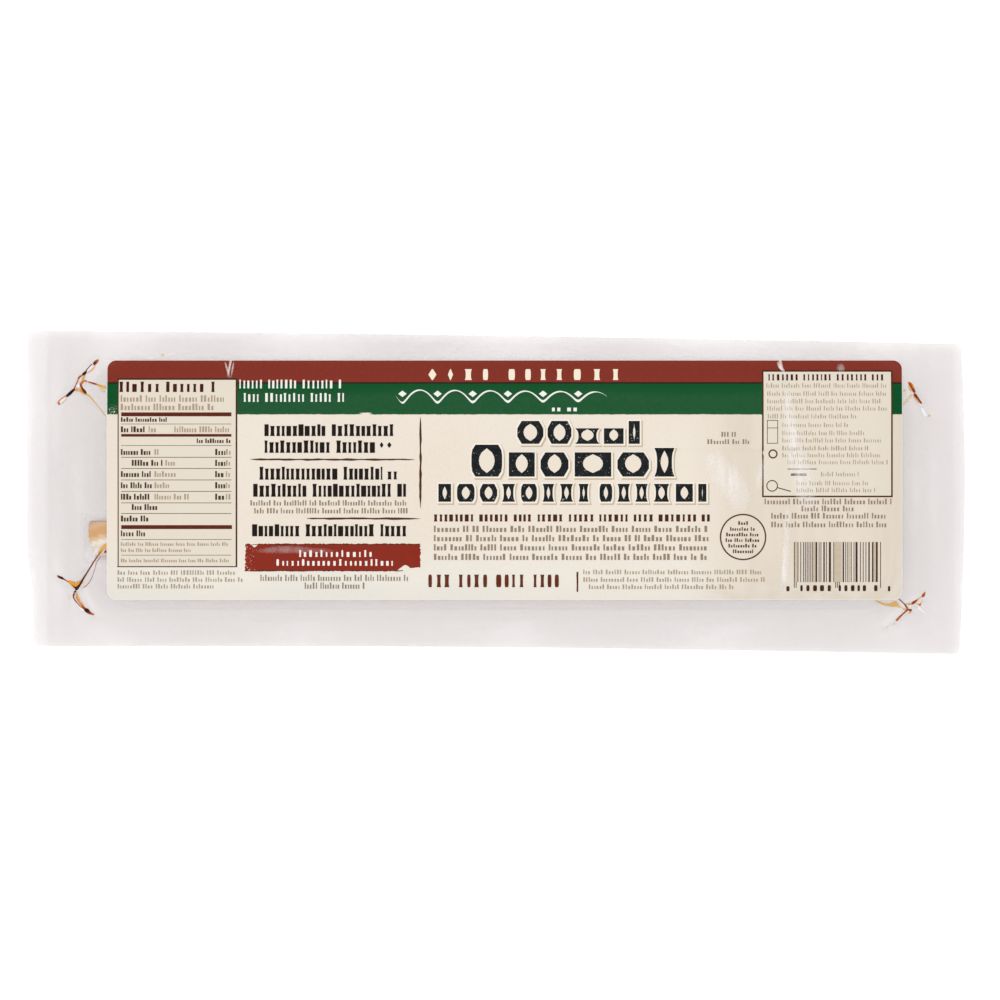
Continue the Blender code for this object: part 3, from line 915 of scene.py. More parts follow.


# The juice in the folds, by star: its centre in millimetres, and threads as points read on the
# enlarged photograph, each (across, down, width, depth of colour): its place in the picture's dots,
# and its width in millimetres
# Threads whose fourth number is 0 or near it are painted white highlights, not juice.
THREADS = (
    ((-149.0, 38.5), (
        ((73.8, 390.2, 1.0, 0.42), (78.2, 389.6, 1.2, 0.40), (82.3, 391.8, 1.2, 0.45),
         (86.8, 394.6, 0.8, 0.40)),
        ((99, 387, 0.9, 0.22), (102, 388.6, 2.0, 0.20), (105.8, 389.6, 2.4, 0.20)),
        ((84.5, 374.5, 0.7, 0.38), (82.8, 378, 0.8, 0.42), (82.5, 381, 0.9, 0.5),
         (80.6, 384.4, 0.8, 0.6), (81.6, 388.6, 0.8, 0.55)),
        ((91.9, 365.6, 0.7, 0), (89.2, 367.8, 0.8, 0), (86.4, 370.2, 0.6, 0)),
        ((81.2, 377.4, 0.35, 0.05), (78.8, 381.8, 0.4, 0.1)),
        ((77.6, 384, 0.8, 0), (77.5, 386, 1.2, 0), (78.4, 388.2, 0.8, 0)),
        ((64.8, 397.6, 0.5, 0), (62, 400.2, 0.8, 0), (59.8, 402.2, 0.6, 0)),
        ((91.9, 363.3, 0.3, 0.8), (87.9, 367.5, 0.35, 0.8), (84.9, 371.3, 0.4, 0.85)),
        ((95.6, 364.4, 0.35, 0.45), (92.2, 369.4, 0.4, 0.42), (87.0, 373.1, 0.45, 0.45)),
        ((98.0, 359.3, 0.6, 0.6), (96.2, 361.0, 1.1, 0.68), (94.4, 362.9, 1.2, 0.9),
         (93.3, 364.9, 0.6, 0.85)),
        ((86.2, 371.0, 0.7, 0.9), (83.8, 373.3, 1.05, 1.0), (81.4, 375.0, 0.7, 0.9)),
        ((81.9, 374.8, 0.5, 0.62), (78.4, 377.2, 0.75, 0.6), (76.7, 381.4, 0.5, 0.58),
         (75.1, 385.4, 0.4, 0.6), (73.2, 389.2, 0.6, 0.8)),
        ((80.2, 382.6, 0.4, 0.7), (80.4, 385.4, 0.7, 0.78), (82.0, 388.8, 0.8, 0.8),
         (84.0, 391.4, 1.0, 0.95), (86.0, 393.4, 0.8, 0.85)),
        ((74.4, 388.4, 0.8, 0.9), (71.0, 391.6, 1.05, 1.0), (67.6, 394.9, 1.05, 1.0),
         (65.6, 396.6, 0.7, 0.85)),
        ((66.0, 395.0, 0.3, 0.55), (61.0, 398.2, 0.35, 0.5), (57.9, 401.3, 0.45, 0.5),
         (58.2, 403.6, 0.8, 0.58), (60.0, 404.2, 0.5, 0.45)),
        ((66.4, 397.4, 0.3, 0.35), (63.4, 401.2, 0.3, 0.3), (61.0, 403.4, 0.35, 0.3)),
        ((83.3, 380.2, 0.6, 0.55), (86.4, 381.4, 0.5, 0.62), (89.5, 382.4, 0.55, 0.66),
         (93.4, 383.5, 0.6, 0.74), (96.6, 384.4, 0.6, 0.72)),
        ((96.0, 384.2, 0.6, 0.5), (99.9, 385.8, 0.8, 0.42), (103, 386.8, 0.9, 0.4),
         (106.0, 387.5, 0.8, 0.42)),
        ((86.4, 394.0, 0.5, 0.45), (88.9, 396.0, 0.45, 0.4), (94.4, 402.3, 0.38, 0.36),
         (100.7, 409.9, 0.36, 0.33), (106.4, 417.4, 0.45, 0.3)),
        ((160.6, 355.2, 0.8, 0.2), (162.3, 354.9, 1.1, 0.23), (164.0, 355.5, 0.8, 0.2)),
    )),
    ((-150.0, -34.2), (
        ((66.9, 580.9, 0.8, 0.42), (71.6, 583.2, 1.5, 0.42), (75.6, 584.6, 1.9, 0.44),
         (79.0, 583.2, 1.6, 0.4), (83.0, 581.0, 1.0, 0.36)),
        ((76.0, 593.0, 0.8, 0.42), (77.4, 598.4, 1.1, 0.38), (80.6, 603.4, 0.9, 0.42),
         (83.6, 607.6, 0.6, 0.45)),
        ((75.2, 602.6, 0.5, 0), (79.0, 607.6, 0.7, 0), (82.8, 611.2, 0.6, 0)),
        ((66.6, 592.8, 0.4, 0.1), (68.6, 597.8, 0.7, 0.14), (70.6, 602.0, 0.5, 0.1)),
        ((98.0, 553.0, 0.8, 0.36), (102.4, 548.4, 1.2, 0.38), (106.8, 544.4, 1.3, 0.4)),
        ((81.0, 588.4, 0.4, 0.5), (86.4, 585.0, 0.26, 0.66), (91.2, 578.2, 0.2, 0.72),
         (94.0, 570.0, 0.18, 0.75), (97.0, 561.6, 0.2, 0.72), (100.4, 556.6, 0.3, 0.66)),
        ((104.2, 552.8, 0.8, 0.75), (106.6, 550.6, 1.0, 0.8)),
        ((56.2, 575.7, 0.5, 0.62), (58.6, 576.9, 0.85, 0.85), (61.6, 578.4, 0.8, 0.95),
         (64.4, 580.2, 0.4, 0.7), (69.2, 583.2, 0.4, 0.62), (73.2, 586.6, 0.6, 0.72),
         (75.6, 588.4, 0.9, 0.95)),
        ((74.8, 590.4, 0.8, 0.9), (76.6, 587.8, 1.2, 1.0), (79.0, 585.0, 0.9, 0.95),
         (82.8, 578.8, 0.68, 0.85), (88.2, 570.2, 0.55, 0.78), (93.9, 561.4, 0.5, 0.74),
         (98.6, 554.6, 0.5, 0.68), (103.0, 549.0, 0.4, 0.6)),
        ((75.4, 590.6, 0.9, 1.0), (73.6, 593.6, 0.7, 0.85), (72.7, 596.8, 0.55, 0.8),
         (74.4, 600.4, 0.45, 0.72), (79.6, 606.4, 0.4, 0.66), (83.9, 609.4, 0.5, 0.75)),
        ((74.8, 593.6, 0.4, 0.7), (76.2, 598.6, 0.45, 0.6), (79.4, 603.6, 0.45, 0.62),
         (83.0, 607.2, 0.6, 0.68), (85.6, 609.4, 0.7, 0.75)),
        ((83.4, 609.6, 0.8, 0.85), (86.2, 610.6, 1.5, 1.0), (88.6, 612.6, 1.2, 0.8),
         (91.0, 613.9, 0.8, 0.64), (94.2, 614.9, 0.5, 0.6)),
    )),
    ((149.7, 35.6), (
        ((908.8, 384.8, 0.6, 0.3), (910.6, 388.2, 1.0, 0.36), (912.6, 391.4, 0.8, 0.36)),
        ((912.7, 394.2, 0.8, 0.26), (908.8, 398.2, 0.9, 0.22), (906.0, 401.8, 0.85, 0.24),
         (903.7, 404.9, 0.8, 0.2)),
        ((921.6, 407.4, 0.9, 0.02), (924.4, 411.6, 1.4, 0), (927.4, 417.0, 1.5, 0.02)),
        ((903.2, 390.6, 0.5, 0.26), (904.8, 390.2, 0.8, 0.34), (905.8, 389.6, 0.4, 0.2)),
        ((929.0, 415.6, 0.5, 0.2), (930.2, 415.6, 0.9, 0.34), (931.2, 416.0, 0.4, 0.2)),
        ((908.6, 382.0, 0.6, 0.55), (911.4, 383.8, 0.8, 0.55), (914.0, 387.6, 0.6, 0.5),
         (915.2, 391.0, 0.5, 0.55)),
        ((908.9, 382.6, 0.7, 0.68), (910.8, 385.0, 0.65, 0.74), (912.6, 388.2, 0.7, 0.72),
         (914.4, 391.4, 1.0, 0.78), (914.8, 393.0, 0.8, 0.62)),
        ((914.0, 393.4, 0.6, 0.5), (915.6, 395.0, 1.0, 0.82), (918.6, 398.7, 0.75, 0.74),
         (921.0, 401.8, 0.75, 0.72), (922.4, 403.6, 0.5, 0.76)),
        ((913.6, 395.6, 0.4, 0.4), (916.4, 399.2, 0.4, 0.42), (919.8, 403.0, 0.35, 0.4)),
    )),
    ((147.3, -41.8), (
        ((875.0, 600.9, 0.5, 0.26), (879.6, 602.2, 0.7, 0.34), (884.0, 604.2, 0.8, 0.33),
         (888.4, 604.8, 1.0, 0.33), (892.0, 604.6, 1.5, 0.37), (895.6, 604.2, 1.9, 0.39),
         (898.4, 605.6, 1.2, 0.33), (903.0, 608.6, 0.7, 0.26), (907.2, 609.4, 0.6, 0.36)),
        ((905.6, 604.4, 0.6, 0.3), (909.2, 604.4, 0.9, 0.36), (912.0, 604.2, 0.6, 0.45)),
        ((910.0, 607.4, 0.5, 0), (911.4, 605.8, 0.7, 0)),
        ((916.6, 605.6, 0.7, 0), (920.4, 608.6, 1.1, 0), (925.2, 613.2, 0.7, 0)),
        ((909.0, 613.6, 0.5, 0.4), (910.2, 612.6, 0.7, 0.42), (911.6, 611.4, 0.6, 0.5)),
        ((887.0, 627.8, 0.4, 0.2), (888.4, 627.0, 0.4, 0.2)),
        ((893.6, 625.0, 0.3, 0.25), (895.2, 623.2, 0.3, 0.35)),
        ((899.2, 598.9, 0.45, 0.7), (902.0, 601.4, 0.42, 0.72), (905.2, 604.8, 0.5, 0.72),
         (908.3, 609.2, 0.8, 0.75)),
        ((909.0, 608.8, 0.8, 0.75), (905.0, 612.6, 0.6, 0.66), (901.1, 616.2, 0.68, 0.64),
         (898.2, 619.2, 0.75, 0.62), (896.4, 621.2, 0.5, 0.64)),
        ((908.2, 609.4, 0.6, 0.78), (910.8, 610.2, 0.8, 0.78), (912.6, 609.6, 0.5, 0.8)),
        ((912.0, 604.4, 0.6, 0.7), (914.0, 602.8, 1.0, 0.74), (916.4, 601.2, 0.8, 0.66),
         (919.2, 598.8, 0.35, 0.4), (922.4, 597.0, 0.4, 0.45)),
        ((922.6, 597.4, 0.6, 0.6), (924.0, 595.6, 1.1, 0.68), (925.2, 593.4, 0.7, 0.56),
         (926.0, 591.8, 0.35, 0.5)),
        ((916.4, 603.4, 0.35, 0.3), (918.8, 604.4, 0.4, 0.4), (920.6, 604.8, 0.8, 0.6),
         (921.6, 603.4, 0.4, 0.45), (923.8, 599.8, 0.3, 0.3)),
    )),
)
THREAD_SIDES = 10
THREAD_LIFT = 0.02 * MM
THREAD_DEEP_LIFT = 0.12 * MM


def smooth_route(points, steps):
    """A smooth curve through the rows of points, with steps between each two."""
    points = np.array(points, float)
    padded = np.vstack([2 * points[0] - points[1], points, 2 * points[-1] - points[-2]])
    route = []
    for index in range(1, len(padded) - 2):
        before, start, end, after = padded[index - 1 : index + 3]
        for t in np.linspace(0, 1, steps, endpoint=False):
            route.append(0.5 * (2 * start + (end - before) * t
                                + (2 * before - 5 * start + 4 * end - after) * t**2
                                + (3 * start - before - 3 * end + after) * t**3))
    return np.array(route + [points[-1]])


def from_star(centre, points):
    """The points placed from their star's centre, to a tenth of a millimetre."""
    placed = []
    for across, down, width, depth_and_glint in points:
        x = round((across - PICTURE_MIDDLE[0]) * DOT - centre[0], 1)
        y = round((PICTURE_MIDDLE[1] - down) * DOT - centre[1], 1)
        placed.append((x, y, width, depth_and_glint))
    return placed


def thread(name, centre, points):
    """One thread of juice, or a painted white highlight where its value is 0: a grid rolled into a
    flattened, tapering tube along its route.
    """
    route = smooth_route(from_star(centre, points), 8)
    heading = np.gradient(route[:, :2], axis=0)
    heading /= np.linalg.norm(heading, axis=1)[:, None]
    steps = len(route) - 1
    tip = np.minimum(np.arange(steps + 1), np.arange(steps + 1)[::-1]) / 2.5
    width = route[:, 2] * np.sqrt(np.clip(tip, 0.02, 1)) / 2
    piece, column, row = grid(name, steps, THREAD_SIDES)
    turn = row / THREAD_SIDES * math.tau
    side = width[column] * np.cos(turn)
    x = (centre[0] + route[column, 0] - heading[column, 1] * side) * MM
    y = (centre[1] + route[column, 1] + heading[column, 0] * side) * MM
    bulge = 0.16 * width[column] * np.sin(turn) * MM
    depth_and_glint = np.clip(route[column, 3], 0, 1)
    z = upper_film(x, y) + film_wrinkles(x, y) + THREAD_LIFT + THREAD_DEEP_LIFT * depth_and_glint + bulge
    place_points(piece, np.stack([x, y, z], 1))
    store_numbers(piece, "depth_and_glint", depth_and_glint)
    merge_doubles(piece)
    fill_holes(piece)
    face_outwards(piece)
    return piece


def juice():
    """All the threads of juice and of painted highlight, as one piece."""
    made = []
    for star, (centre, threads) in enumerate(THREADS):
        for index, points in enumerate(threads):
            made.append(thread(f"thread_{star}_{index}", centre, points))
    piece = join("juice_threads_and_glints", made)
    shade_smooth(piece)
    return piece


# The label

# How finely the label's sheets and its print are divided: steps along and across the sheets, steps
# round a ring, and the size of a face in lines, plates and the patch, in millimetres
LABEL_STEPS = (300, 100)
RING_STEPS = 72
STRIP_STEP = 2.0
PLATE_STEP = 0.95
BAR_STEP = 0.9
PATCH_STEP = 0.6


def label_sheet(name, inset, lift, thickness):
    """A thin sheet with rounded corners that follows the upper film."""
    columns, rows = LABEL_STEPS
    piece, column, row = grid(name, columns, rows)
    half_x, half_y = LABEL["length"] / 2 - inset, LABEL["width"] / 2 - inset
    corner = LABEL["corner"] - inset
    x, y = (mix(-half_x, half_x, column / columns), mix(-half_y, half_y, row / rows))
    along = np.clip((np.abs(x) - (half_x - corner)) / corner, 0, 1)
    across = np.clip((np.abs(y) - (half_y - corner)) / corner, 0, 1)
    arc_x = np.copysign(half_x - corner * (1 - along * np.sqrt(1 - across**2 / 2)), x)
    arc_y = np.copysign(half_y - corner * (1 - across * np.sqrt(1 - along**2 / 2)), y)
    in_corner = np.minimum(along, across) > 0
    x, y = np.where(in_corner, arc_x, x), np.where(in_corner, arc_y, y)
    x, y = x + LABEL["centre"][0], y + LABEL["centre"][1]
    place_points(piece, np.stack([x, y, paper_height(x, y) + lift], 1))
    apply_modifier(piece, "SOLIDIFY", thickness=thickness, offset=-1.0)
    shade_smooth(piece, angle=40)
    return piece


def lay_print(name, shapes, level, material):
    """Joins flat shapes laid out in millimetres into one thin printed piece at an ink level."""
    piece = join(name, shapes)
    flat = points_of(piece)
    x, y = (LABEL_LEFT + flat[:, 0]) * MM, (LABEL_FAR - flat[:, 1]) * MM
    lift = INK_RISE + level * INK_STEP
    place_points(piece, np.stack([x, y, paper_height(x, y) + lift], 1))
    face_up(piece)
    apply_modifier(piece, "SOLIDIFY", thickness=INK_THICKNESS, offset=-1.0)
    return dress(piece, material, "label_paper", "label")


def strip(start, end, width, wobble=0.0, taper=0.0, seed=0):
    """A printed line from start to end, in millimetres, with a hand-drawn wobble and tapered ends."""
    length = math.dist(start, end)
    columns = max(2, round(length / STRIP_STEP))
    piece, column, row = grid("strip", columns, 1)
    share = column / columns
    heading = ((end[0] - start[0]) / length, (end[1] - start[1]) / length)
    rng = random.Random(seed)
    swings = np.array([rng.uniform(-1, 1) for _ in range(2 * (columns + 1))]).reshape(2, -1)
    half = width / 2 * (1 + wobble * swings[0][column])
    if taper:
        half = half * np.clip(np.minimum(share, 1 - share) * length / taper, 0.12, 1)
    drift = wobble * 0.22 * swings[1][column]
    aside = np.where(row == 1, half, -half) + drift
    x = start[0] + heading[0] * share * length - heading[1] * aside
    y = start[1] + heading[1] * share * length + heading[0] * aside
    place_flat(piece, x, y)
    return piece


def box_frame(left, top, right, bottom, width, lower=1.0):
    """Four printed lines round a rectangle. The upright ones stop at the others, and the lower and
    left ones are so many times as wide."""
    half = width / 2
    return [
        strip((left - half, top), (right + half, top), width),
        strip((left - half, bottom), (right + half, bottom), width * lower),
        strip((left, top + half), (left, bottom - half * lower), width * lower),
        strip((right, top + half), (right, bottom - half * lower), width),
    ]


def plate(left, top, right, bottom, step=PLATE_STEP):
    """A filled rectangle of print."""
    columns, rows = (max(1, round(size / step)) for size in (right - left, bottom - top))
    piece, column, row = grid("plate", columns, rows)
    x, y = mix(left, right, column / columns), mix(top, bottom, row / rows)
    place_flat(piece, x, y)
    return piece


def ring(centre_x, centre_y, radius, width):
    """A printed circle line."""
    piece, column, row = grid("ring", RING_STEPS, 1)
    turn = column / RING_STEPS * math.tau
    reach = radius + width * (row - 0.5)
    x, y = centre_x + reach * np.cos(turn), centre_y + reach * np.sin(turn)
    place_flat(piece, x, y)
    merge_doubles(piece, 1e-5)
    return piece


def ragged_patch(left, top, right, bottom):
    """A filled patch with brushed edges, a notch at its upper left and one at its lower right."""
    columns, rows = round((right - left) / PATCH_STEP), round((bottom - top) / PATCH_STEP)
    piece, column, row = grid("patch", columns, rows)
    rng = random.Random(77)
    along, down = column / columns, row / rows
    rough = np.array([rng.uniform(-1, 1) for _ in range(4 * (columns + 1))]).reshape(4, -1)
    upper = top + 0.16 * rough[0][column] + 1.5 * np.clip(1 - np.abs(along - 0.05) / 0.026, 0, 1)
    lower = bottom - 0.16 * rough[1][column] - 2.4 * np.clip(1 - np.abs(along - 0.915) / 0.05, 0, 1)
    lower = lower - 1.3 * smooth((along - 0.94) / 0.03)
    start = left + 0.3 * (1 + rough[2][row]) - 0.3 * down
    end = right - 0.3 * (1 + rough[3][row])
    x, y = mix(start, end, along), mix(upper, lower, down)
    place_flat(piece, x, y)
    return piece


def ribbon(points):
    """A soft streak along a route of (across, down, width, strength), strongest along its middle."""
    route = smooth_route(points, 10)
    heading = np.gradient(route[:, :2], axis=0)
    heading /= np.linalg.norm(heading, axis=1)[:, None]
    steps, rows = len(route) - 1, 6
    piece, column, row = grid("ribbon", steps, rows)
    aside = 2 * row / rows - 1
    reach = route[column, 2] * aside / 2
    x = route[column, 0] - heading[column, 1] * reach
    y = route[column, 1] + heading[column, 0] * reach
    place_flat(piece, x, y)
    ends = smooth(np.minimum(column, steps - column) / 5)
    store_numbers(piece, "shine", route[column, 3] * (1 - aside**2) * ends)
    return piece


def flourish(left, right, middle, height):
    """A drawn wave line with a lozenge in each of its hollows."""
    columns = 160
    piece, column, row = grid("wave", columns, 1)
    share = column / columns
    phase = share * math.tau * 6
    width = 0.35 + 0.55 * np.abs(np.sin(phase / 2 + 0.6))
    width = width * np.clip(np.minimum(share, 1 - share) * 18, 0.15, 1)
    x = mix(left, right, share) + 0.8 * np.cos(phase)
    y = middle + height * (0.9 - 0.3 * share) * np.sin(phase) + (row - 0.5) * width
    place_flat(piece, x, y)
    gems = [piece]
    for number in range(6):
        at = mix(left, right, (number + 0.25) / 6)
        gem, column, row = grid("gem", 4, 4)
        spread = points_of(gem)[:, :2]
        turned = np.stack([spread[:, 0] + spread[:, 1], spread[:, 1] - spread[:, 0]], 1) / 2
        gem_y = middle - 0.9 + turned[:, 1] * 1.15
        place_flat(gem, at + turned[:, 0] * 1.5, gem_y)
        gems.append(gem)
    return join("flourish", gems)


def scan_bars(left, right, top, bottom):
    """Upright bars of uneven width, with longer pairs at both ends and in the middle."""
    rng = random.Random(31)
    unit = (right - left) / BAR_UNITS
    made, place = [], 0
    while place < BAR_UNITS:
        wide = 1 if place in (0, 2) else min(rng.choice((1, 1, 2, 3)), BAR_UNITS - place)
        if 45 <= place <= 49 or place > 90:
            wide = 1
        long = place < 4 or 44 <= place <= 50 or place > 90
        start = left + place * unit
        end = start + wide * unit * BAR_SHARE
        made.append(plate(start, top, end, bottom + (LONG_BAR if long else 0), BAR_STEP))
        place += wide + (1 if long else rng.choice((1, 1, 2, 2)))
    return join("bars", made)


# How wide a mark is from its foot, at -1, to its top, at 1
PROFILES = {
    "bar": lambda t: np.ones_like(t),
    "spool": lambda t: 0.74 + 0.26 * np.abs(t) ** 3,
    "barrel": lambda t: 1 - 0.26 * t**4,
    "hexagon": lambda t: 1 - 0.34 * np.clip(np.abs(t) * 1.6 - 0.6, 0, 1),
    "lozenge": lambda t: 1 - 0.86 * np.abs(t),
    "oval": lambda t: 0.75 * np.sqrt(1 - 0.95 * t * t),
}


def marks(left, right, middle, height, pitch, seed, profiles=("bar",), share=0.58, words=(3, 9),
          short=0.66, rows=1, space=0.75, grow=0.0, heights=None, forced=None):
    """A line of print as a row of plain marks: upright blocks of uneven width and height, in groups.
    Each fills about that share of the pitch. A group, or word, has so many marks, a first tall one
    and others tall or short, and a space of so many pitches follows it. Where heights are given,
    the marks take them in turn. All are cut into rows of faces, and made larger by grow."""
    rng = random.Random(seed)
    edges, kinds, levels = [], [], []
    place, in_word, word = left, 0, rng.randint(*words)
    while place < right - 0.3 * pitch:
        width = min(pitch * share * rng.uniform(0.72, 1.28), right - place)
        edges += [place, place + width]
        kind = rng.choice(profiles)
        kinds.append(forced or kind)
        tall = in_word == 0 or rng.random() < 0.28
        if heights:
            levels.append(heights[len(levels) % len(heights)])
        else:
            levels.append(1.0 if tall else short)
        place += width + pitch * (1 - share) * rng.uniform(0.8, 1.2)
        in_word += 1
        if in_word >= word:
            place += pitch * space
            in_word, word = 0, rng.randint(*words)
    columns = len(edges) - 1
    piece, column, row = grid("marks", columns, rows)
    mark = column // 2
    upright = 2 * row / rows - 1
    top, bottom = middle - height / 2 - grow, middle + height / 2 + grow
    y = mix(bottom, mix(bottom, top, np.array(levels)[mark]), (upright + 1) / 2)
    low, high = np.array(edges)[2 * mark], np.array(edges)[2 * mark + 1]
    across = np.ones_like(upright)
    for kind, profile in PROFILES.items():
        chosen = np.array([name == kind for name in kinds])[mark]
        across = np.where(chosen, profile(upright), across)
    centre, half = (low + high) / 2, (high - low) / 2
    x = centre + np.maximum(half * across + grow, 0.02) * np.where(column % 2 == 1, 1, -1)
    place_flat(piece, x, y)
    firsts = np.array([min(column[corner] for corner in face.vertices) for face in piece.data.polygons])
    between = firsts % 2 == 1
    if between.any():
        delete_faces(piece, between)
    if pitch > 3.5:
        subdivide(piece, round(pitch / 1.6))
    return piece


def print_lines(lines, pitch, seed, **style):
    """One row of marks for each line, given as (left, right, middle, height)."""
    return [marks(*line, pitch, seed + number, **style) for number, line in enumerate(lines)]


def title_rows(grow, shift=(0.0, 0.0), forced=None, more=0.0):
    """The title's large marks, made larger by grow and by so much more of their height."""
    made = []
    for number, (left, right, middle, height, pitch, share, heights) in enumerate(TITLE_ROWS):
        piece = marks(left, right, middle, height, pitch, 500 + number,
                      profiles=("spool", "barrel", "bar", "hexagon"), share=share, words=(20, 20),
                      rows=6, grow=grow + more * height, heights=heights, forced=forced)
        place_points(piece, points_of(piece) + np.array([*shift, 0]))
        made.append(piece)
    return made


# The layout of the print, in millimetres from the label's upper left corner. The panels are left,
# top, right and bottom, and the lines of print left, right, middle and height. Rows have no height.
PANEL = (4.1, 6.8, 46.4, 73.9)
NOTICE = (234.6, 3.9, 280.8, 48.8)
PATCH = (49.4, 65.7, 112.4, 75.5)
PANEL_RULES = (22.9, 30.6, 64.2, 69.8)
ROW_RULES = (34.8, 38.8, 42.9, 47.0, 51.1, 54.9)
ROWS = (
    (5.1, 18.5, 32.9), (9.0, 25.0, 36.8), (5.1, 25.0, 40.8), (5.1, 22.3, 44.8), (5.1, 29.8, 48.9),
    (9.0, 18.6, 52.6), (5.1, 16.4, 56.7),
)
HEADINGS = (
    (56.4, 103.2, 25.1, 4.2), (56.4, 96.6, 31.0, 4.4), (54.6, 98.6, 40.5, 4.6),
    (52.4, 107.0, 46.6, 4.6), (52.0, 107.8, 60.9, 4.3),
)
SMALL_LINES = (
    (3.9, 46.0, 76.0, 1.6), (3.9, 48.8, 78.5, 1.6), (3.9, 38.6, 80.9, 1.6),
    (170.4, 235.0, 75.8, 1.6), (170.4, 235.6, 78.5, 1.6), (172.4, 224.0, 81.1, 1.6),
)
BODY_LINES = (
    (51.4, 108.2, 51.1, 1.9), (52.8, 108.2, 53.9, 1.9), (55.0, 108.2, 77.9, 2.2),
    (70.8, 92.8, 80.7, 2.2), (219.8, 225.2, 26.6, 1.7), (214.8, 230.2, 29.2, 1.7),
)
STORY_LINES = (
    (117.0, 215.4, 60.4, 2.2), (117.0, 215.4, 63.7, 2.2), (117.0, 215.4, 67.0, 2.2),
    (117.0, 215.4, 70.4, 2.2),
)
NOTICE_LINES = (
    (235.9, 279.2, 9.1, 1.6), (236.2, 279.2, 12.0, 1.6), (236.2, 276.6, 14.7, 1.6),
    (236.2, 279.2, 17.3, 1.6), (236.4, 268.6, 20.1, 1.6), (241.6, 265.0, 23.2, 1.6),
    (241.6, 271.4, 26.1, 1.6), (241.6, 277.0, 28.7, 1.6), (241.6, 272.6, 31.5, 1.6),
    (241.6, 276.4, 34.0, 1.6), (243.4, 279.2, 36.5, 1.6), (255.4, 268.8, 40.8, 1.6),
    (246.6, 272.8, 44.0, 1.6), (246.6, 275.4, 46.5, 1.6),
)
ADDRESS_LINES = (
    (235.2, 280.6, 50.6, 2.0), (248.4, 267.0, 53.1, 2.0), (237.6, 278.4, 55.7, 2.0),
    (237.6, 279.0, 58.8, 2.0),
)

# The title's rows: left, right, middle, height, pitch, share of the pitch, and the marks' heights
TITLE_ROWS = (
    (146.8, 190.6, 25.9, 8.2, 9.1, 0.82, (1.0, 1.0, 0.68, 0.68, 1.0)),
    (130.4, 203.0, 36.0, 11.4, 12.5, 0.82, (1.0, 0.76, 0.76, 0.76, 0.76, 0.9)),
    (118.6, 172.3, 47.5, 6.4, 7.5, 0.74, (1.0,)),
    (176.2, 214.4, 47.5, 6.4, 7.6, 0.74, (1.0,)),
)

# The ring stamp: its centre, and its lines as how far each lies below that and its half length
STAMP = (227.5, 63.3)
STAMP_LINES = ((-5.0, 1.7), (-2.9, 4.6), (-0.9, 6.0), (1.1, 6.2), (3.1, 5.2), (5.1, 3.6))

# The scanning bars: left, right, top, bottom, in so many units, how much of its units a bar fills,
# how much lower the long ones reach, and where some are worn away
BARS = (245.7, 276.9, 65.1, 79.4)
BAR_UNITS = 95
BAR_SHARE = 0.75
LONG_BAR = 2.1
WORN_BARS = ((246.0, 246.9), (252.7, 253.4), (260.3, 262.7), (264.9, 265.8), (274.2, 275.0))

# The painted highlights of the creased film over the print, as routes of (across, down, width,
# strength)
PAINTED_GLINTS = (
    ((42.0, 0.2, 0.6, 0.3), (43.0, 3.2, 0.8, 0.5), (44.2, 7.0, 0.5, 0.4)),
    ((45.4, 0.2, 0.6, 0.25), (44.9, 3.2, 0.8, 0.42), (44.4, 6.6, 0.5, 0.3)),
    ((239.8, 0.3, 0.7, 0.7), (240.8, 2.4, 1.3, 0.95), (242.2, 4.4, 1.2, 0.75),
     (243.0, 8.0, 1.6, 0.35)),
    ((243.0, 6.0, 3.0, 0.30), (243.8, 20.0, 5.0, 0.38), (246.4, 34.0, 8.0, 0.40),
     (249.4, 44.0, 9.0, 0.38), (251.0, 56.0, 6.0, 0.2)),
    ((243.6, 50.0, 1.6, 0.2), (243.0, 64.0, 2.4, 0.5), (242.4, 76.0, 2.6, 0.55),
     (241.8, 84.6, 2.0, 0.4)),
    ((214.5, 31.5, 5.0, 0.1), (218.0, 37.5, 9.0, 0.36), (222.5, 43.5, 11.0, 0.42),
     (226.0, 49.0, 9.0, 0.32), (228.0, 54.0, 5.0, 0.1)),
    ((236.0, 33.0, 2.0, 0.1), (234.0, 40.0, 3.6, 0.2), (233.0, 47.0, 3.0, 0.15)),
    ((51.0, 68.6, 1.0, 0.0), (62.0, 67.8, 3.0, 0.12), (72.0, 68.0, 2.6, 0.1), (84.0, 68.4, 1.0, 0.0)),
    ((262.0, 1.0, 2.0, 0.1), (262.6, 3.0, 3.0, 0.25), (263.0, 5.0, 2.0, 0.1)),
    ((255.0, 84.0, 0.6, 0.3), (259.0, 83.2, 0.7, 0.4), (262.0, 84.4, 0.5, 0.3)),
)


# Sizes and colours that a user would change


def colour_setting(name, description, default):
    """A colour that a user may change."""
    return bpy.props.FloatVectorProperty(
        name=name, description=description, subtype="COLOR", size=4, min=0, max=1, default=default
    )


def share_setting(name, description, default):
    """A share from 0 to 1 that a user may change."""
    return bpy.props.FloatProperty(
        name=name, description=description, subtype="FACTOR", min=0, max=1, default=default
    )


class FilmLooks(bpy.types.PropertyGroup):
    tint: colour_setting("Tint", "Colour of the film's haze", lit(238, 232, 230))
    haze: share_setting("Rim haze", "How much one layer of the free film hides", 0.47)
    cling_haze: share_setting(
        "Clinging haze", "How much the film hides where it clings to the slices", 0.16
    )


class SliceLooks(bpy.types.PropertyGroup):
    lean: colour_setting("Lean", "Colour of the lean", lit(196, 104, 88))
    deep_lean: colour_setting("Deep lean", "Colour of the darkest lean", lit(158, 68, 58))
    fat: colour_setting("Fat", "Colour of the fat", lit(240, 226, 206))
    smoked: colour_setting("Smoked edge", "Colour of the rubbed and smoked edge", lit(142, 70, 40))


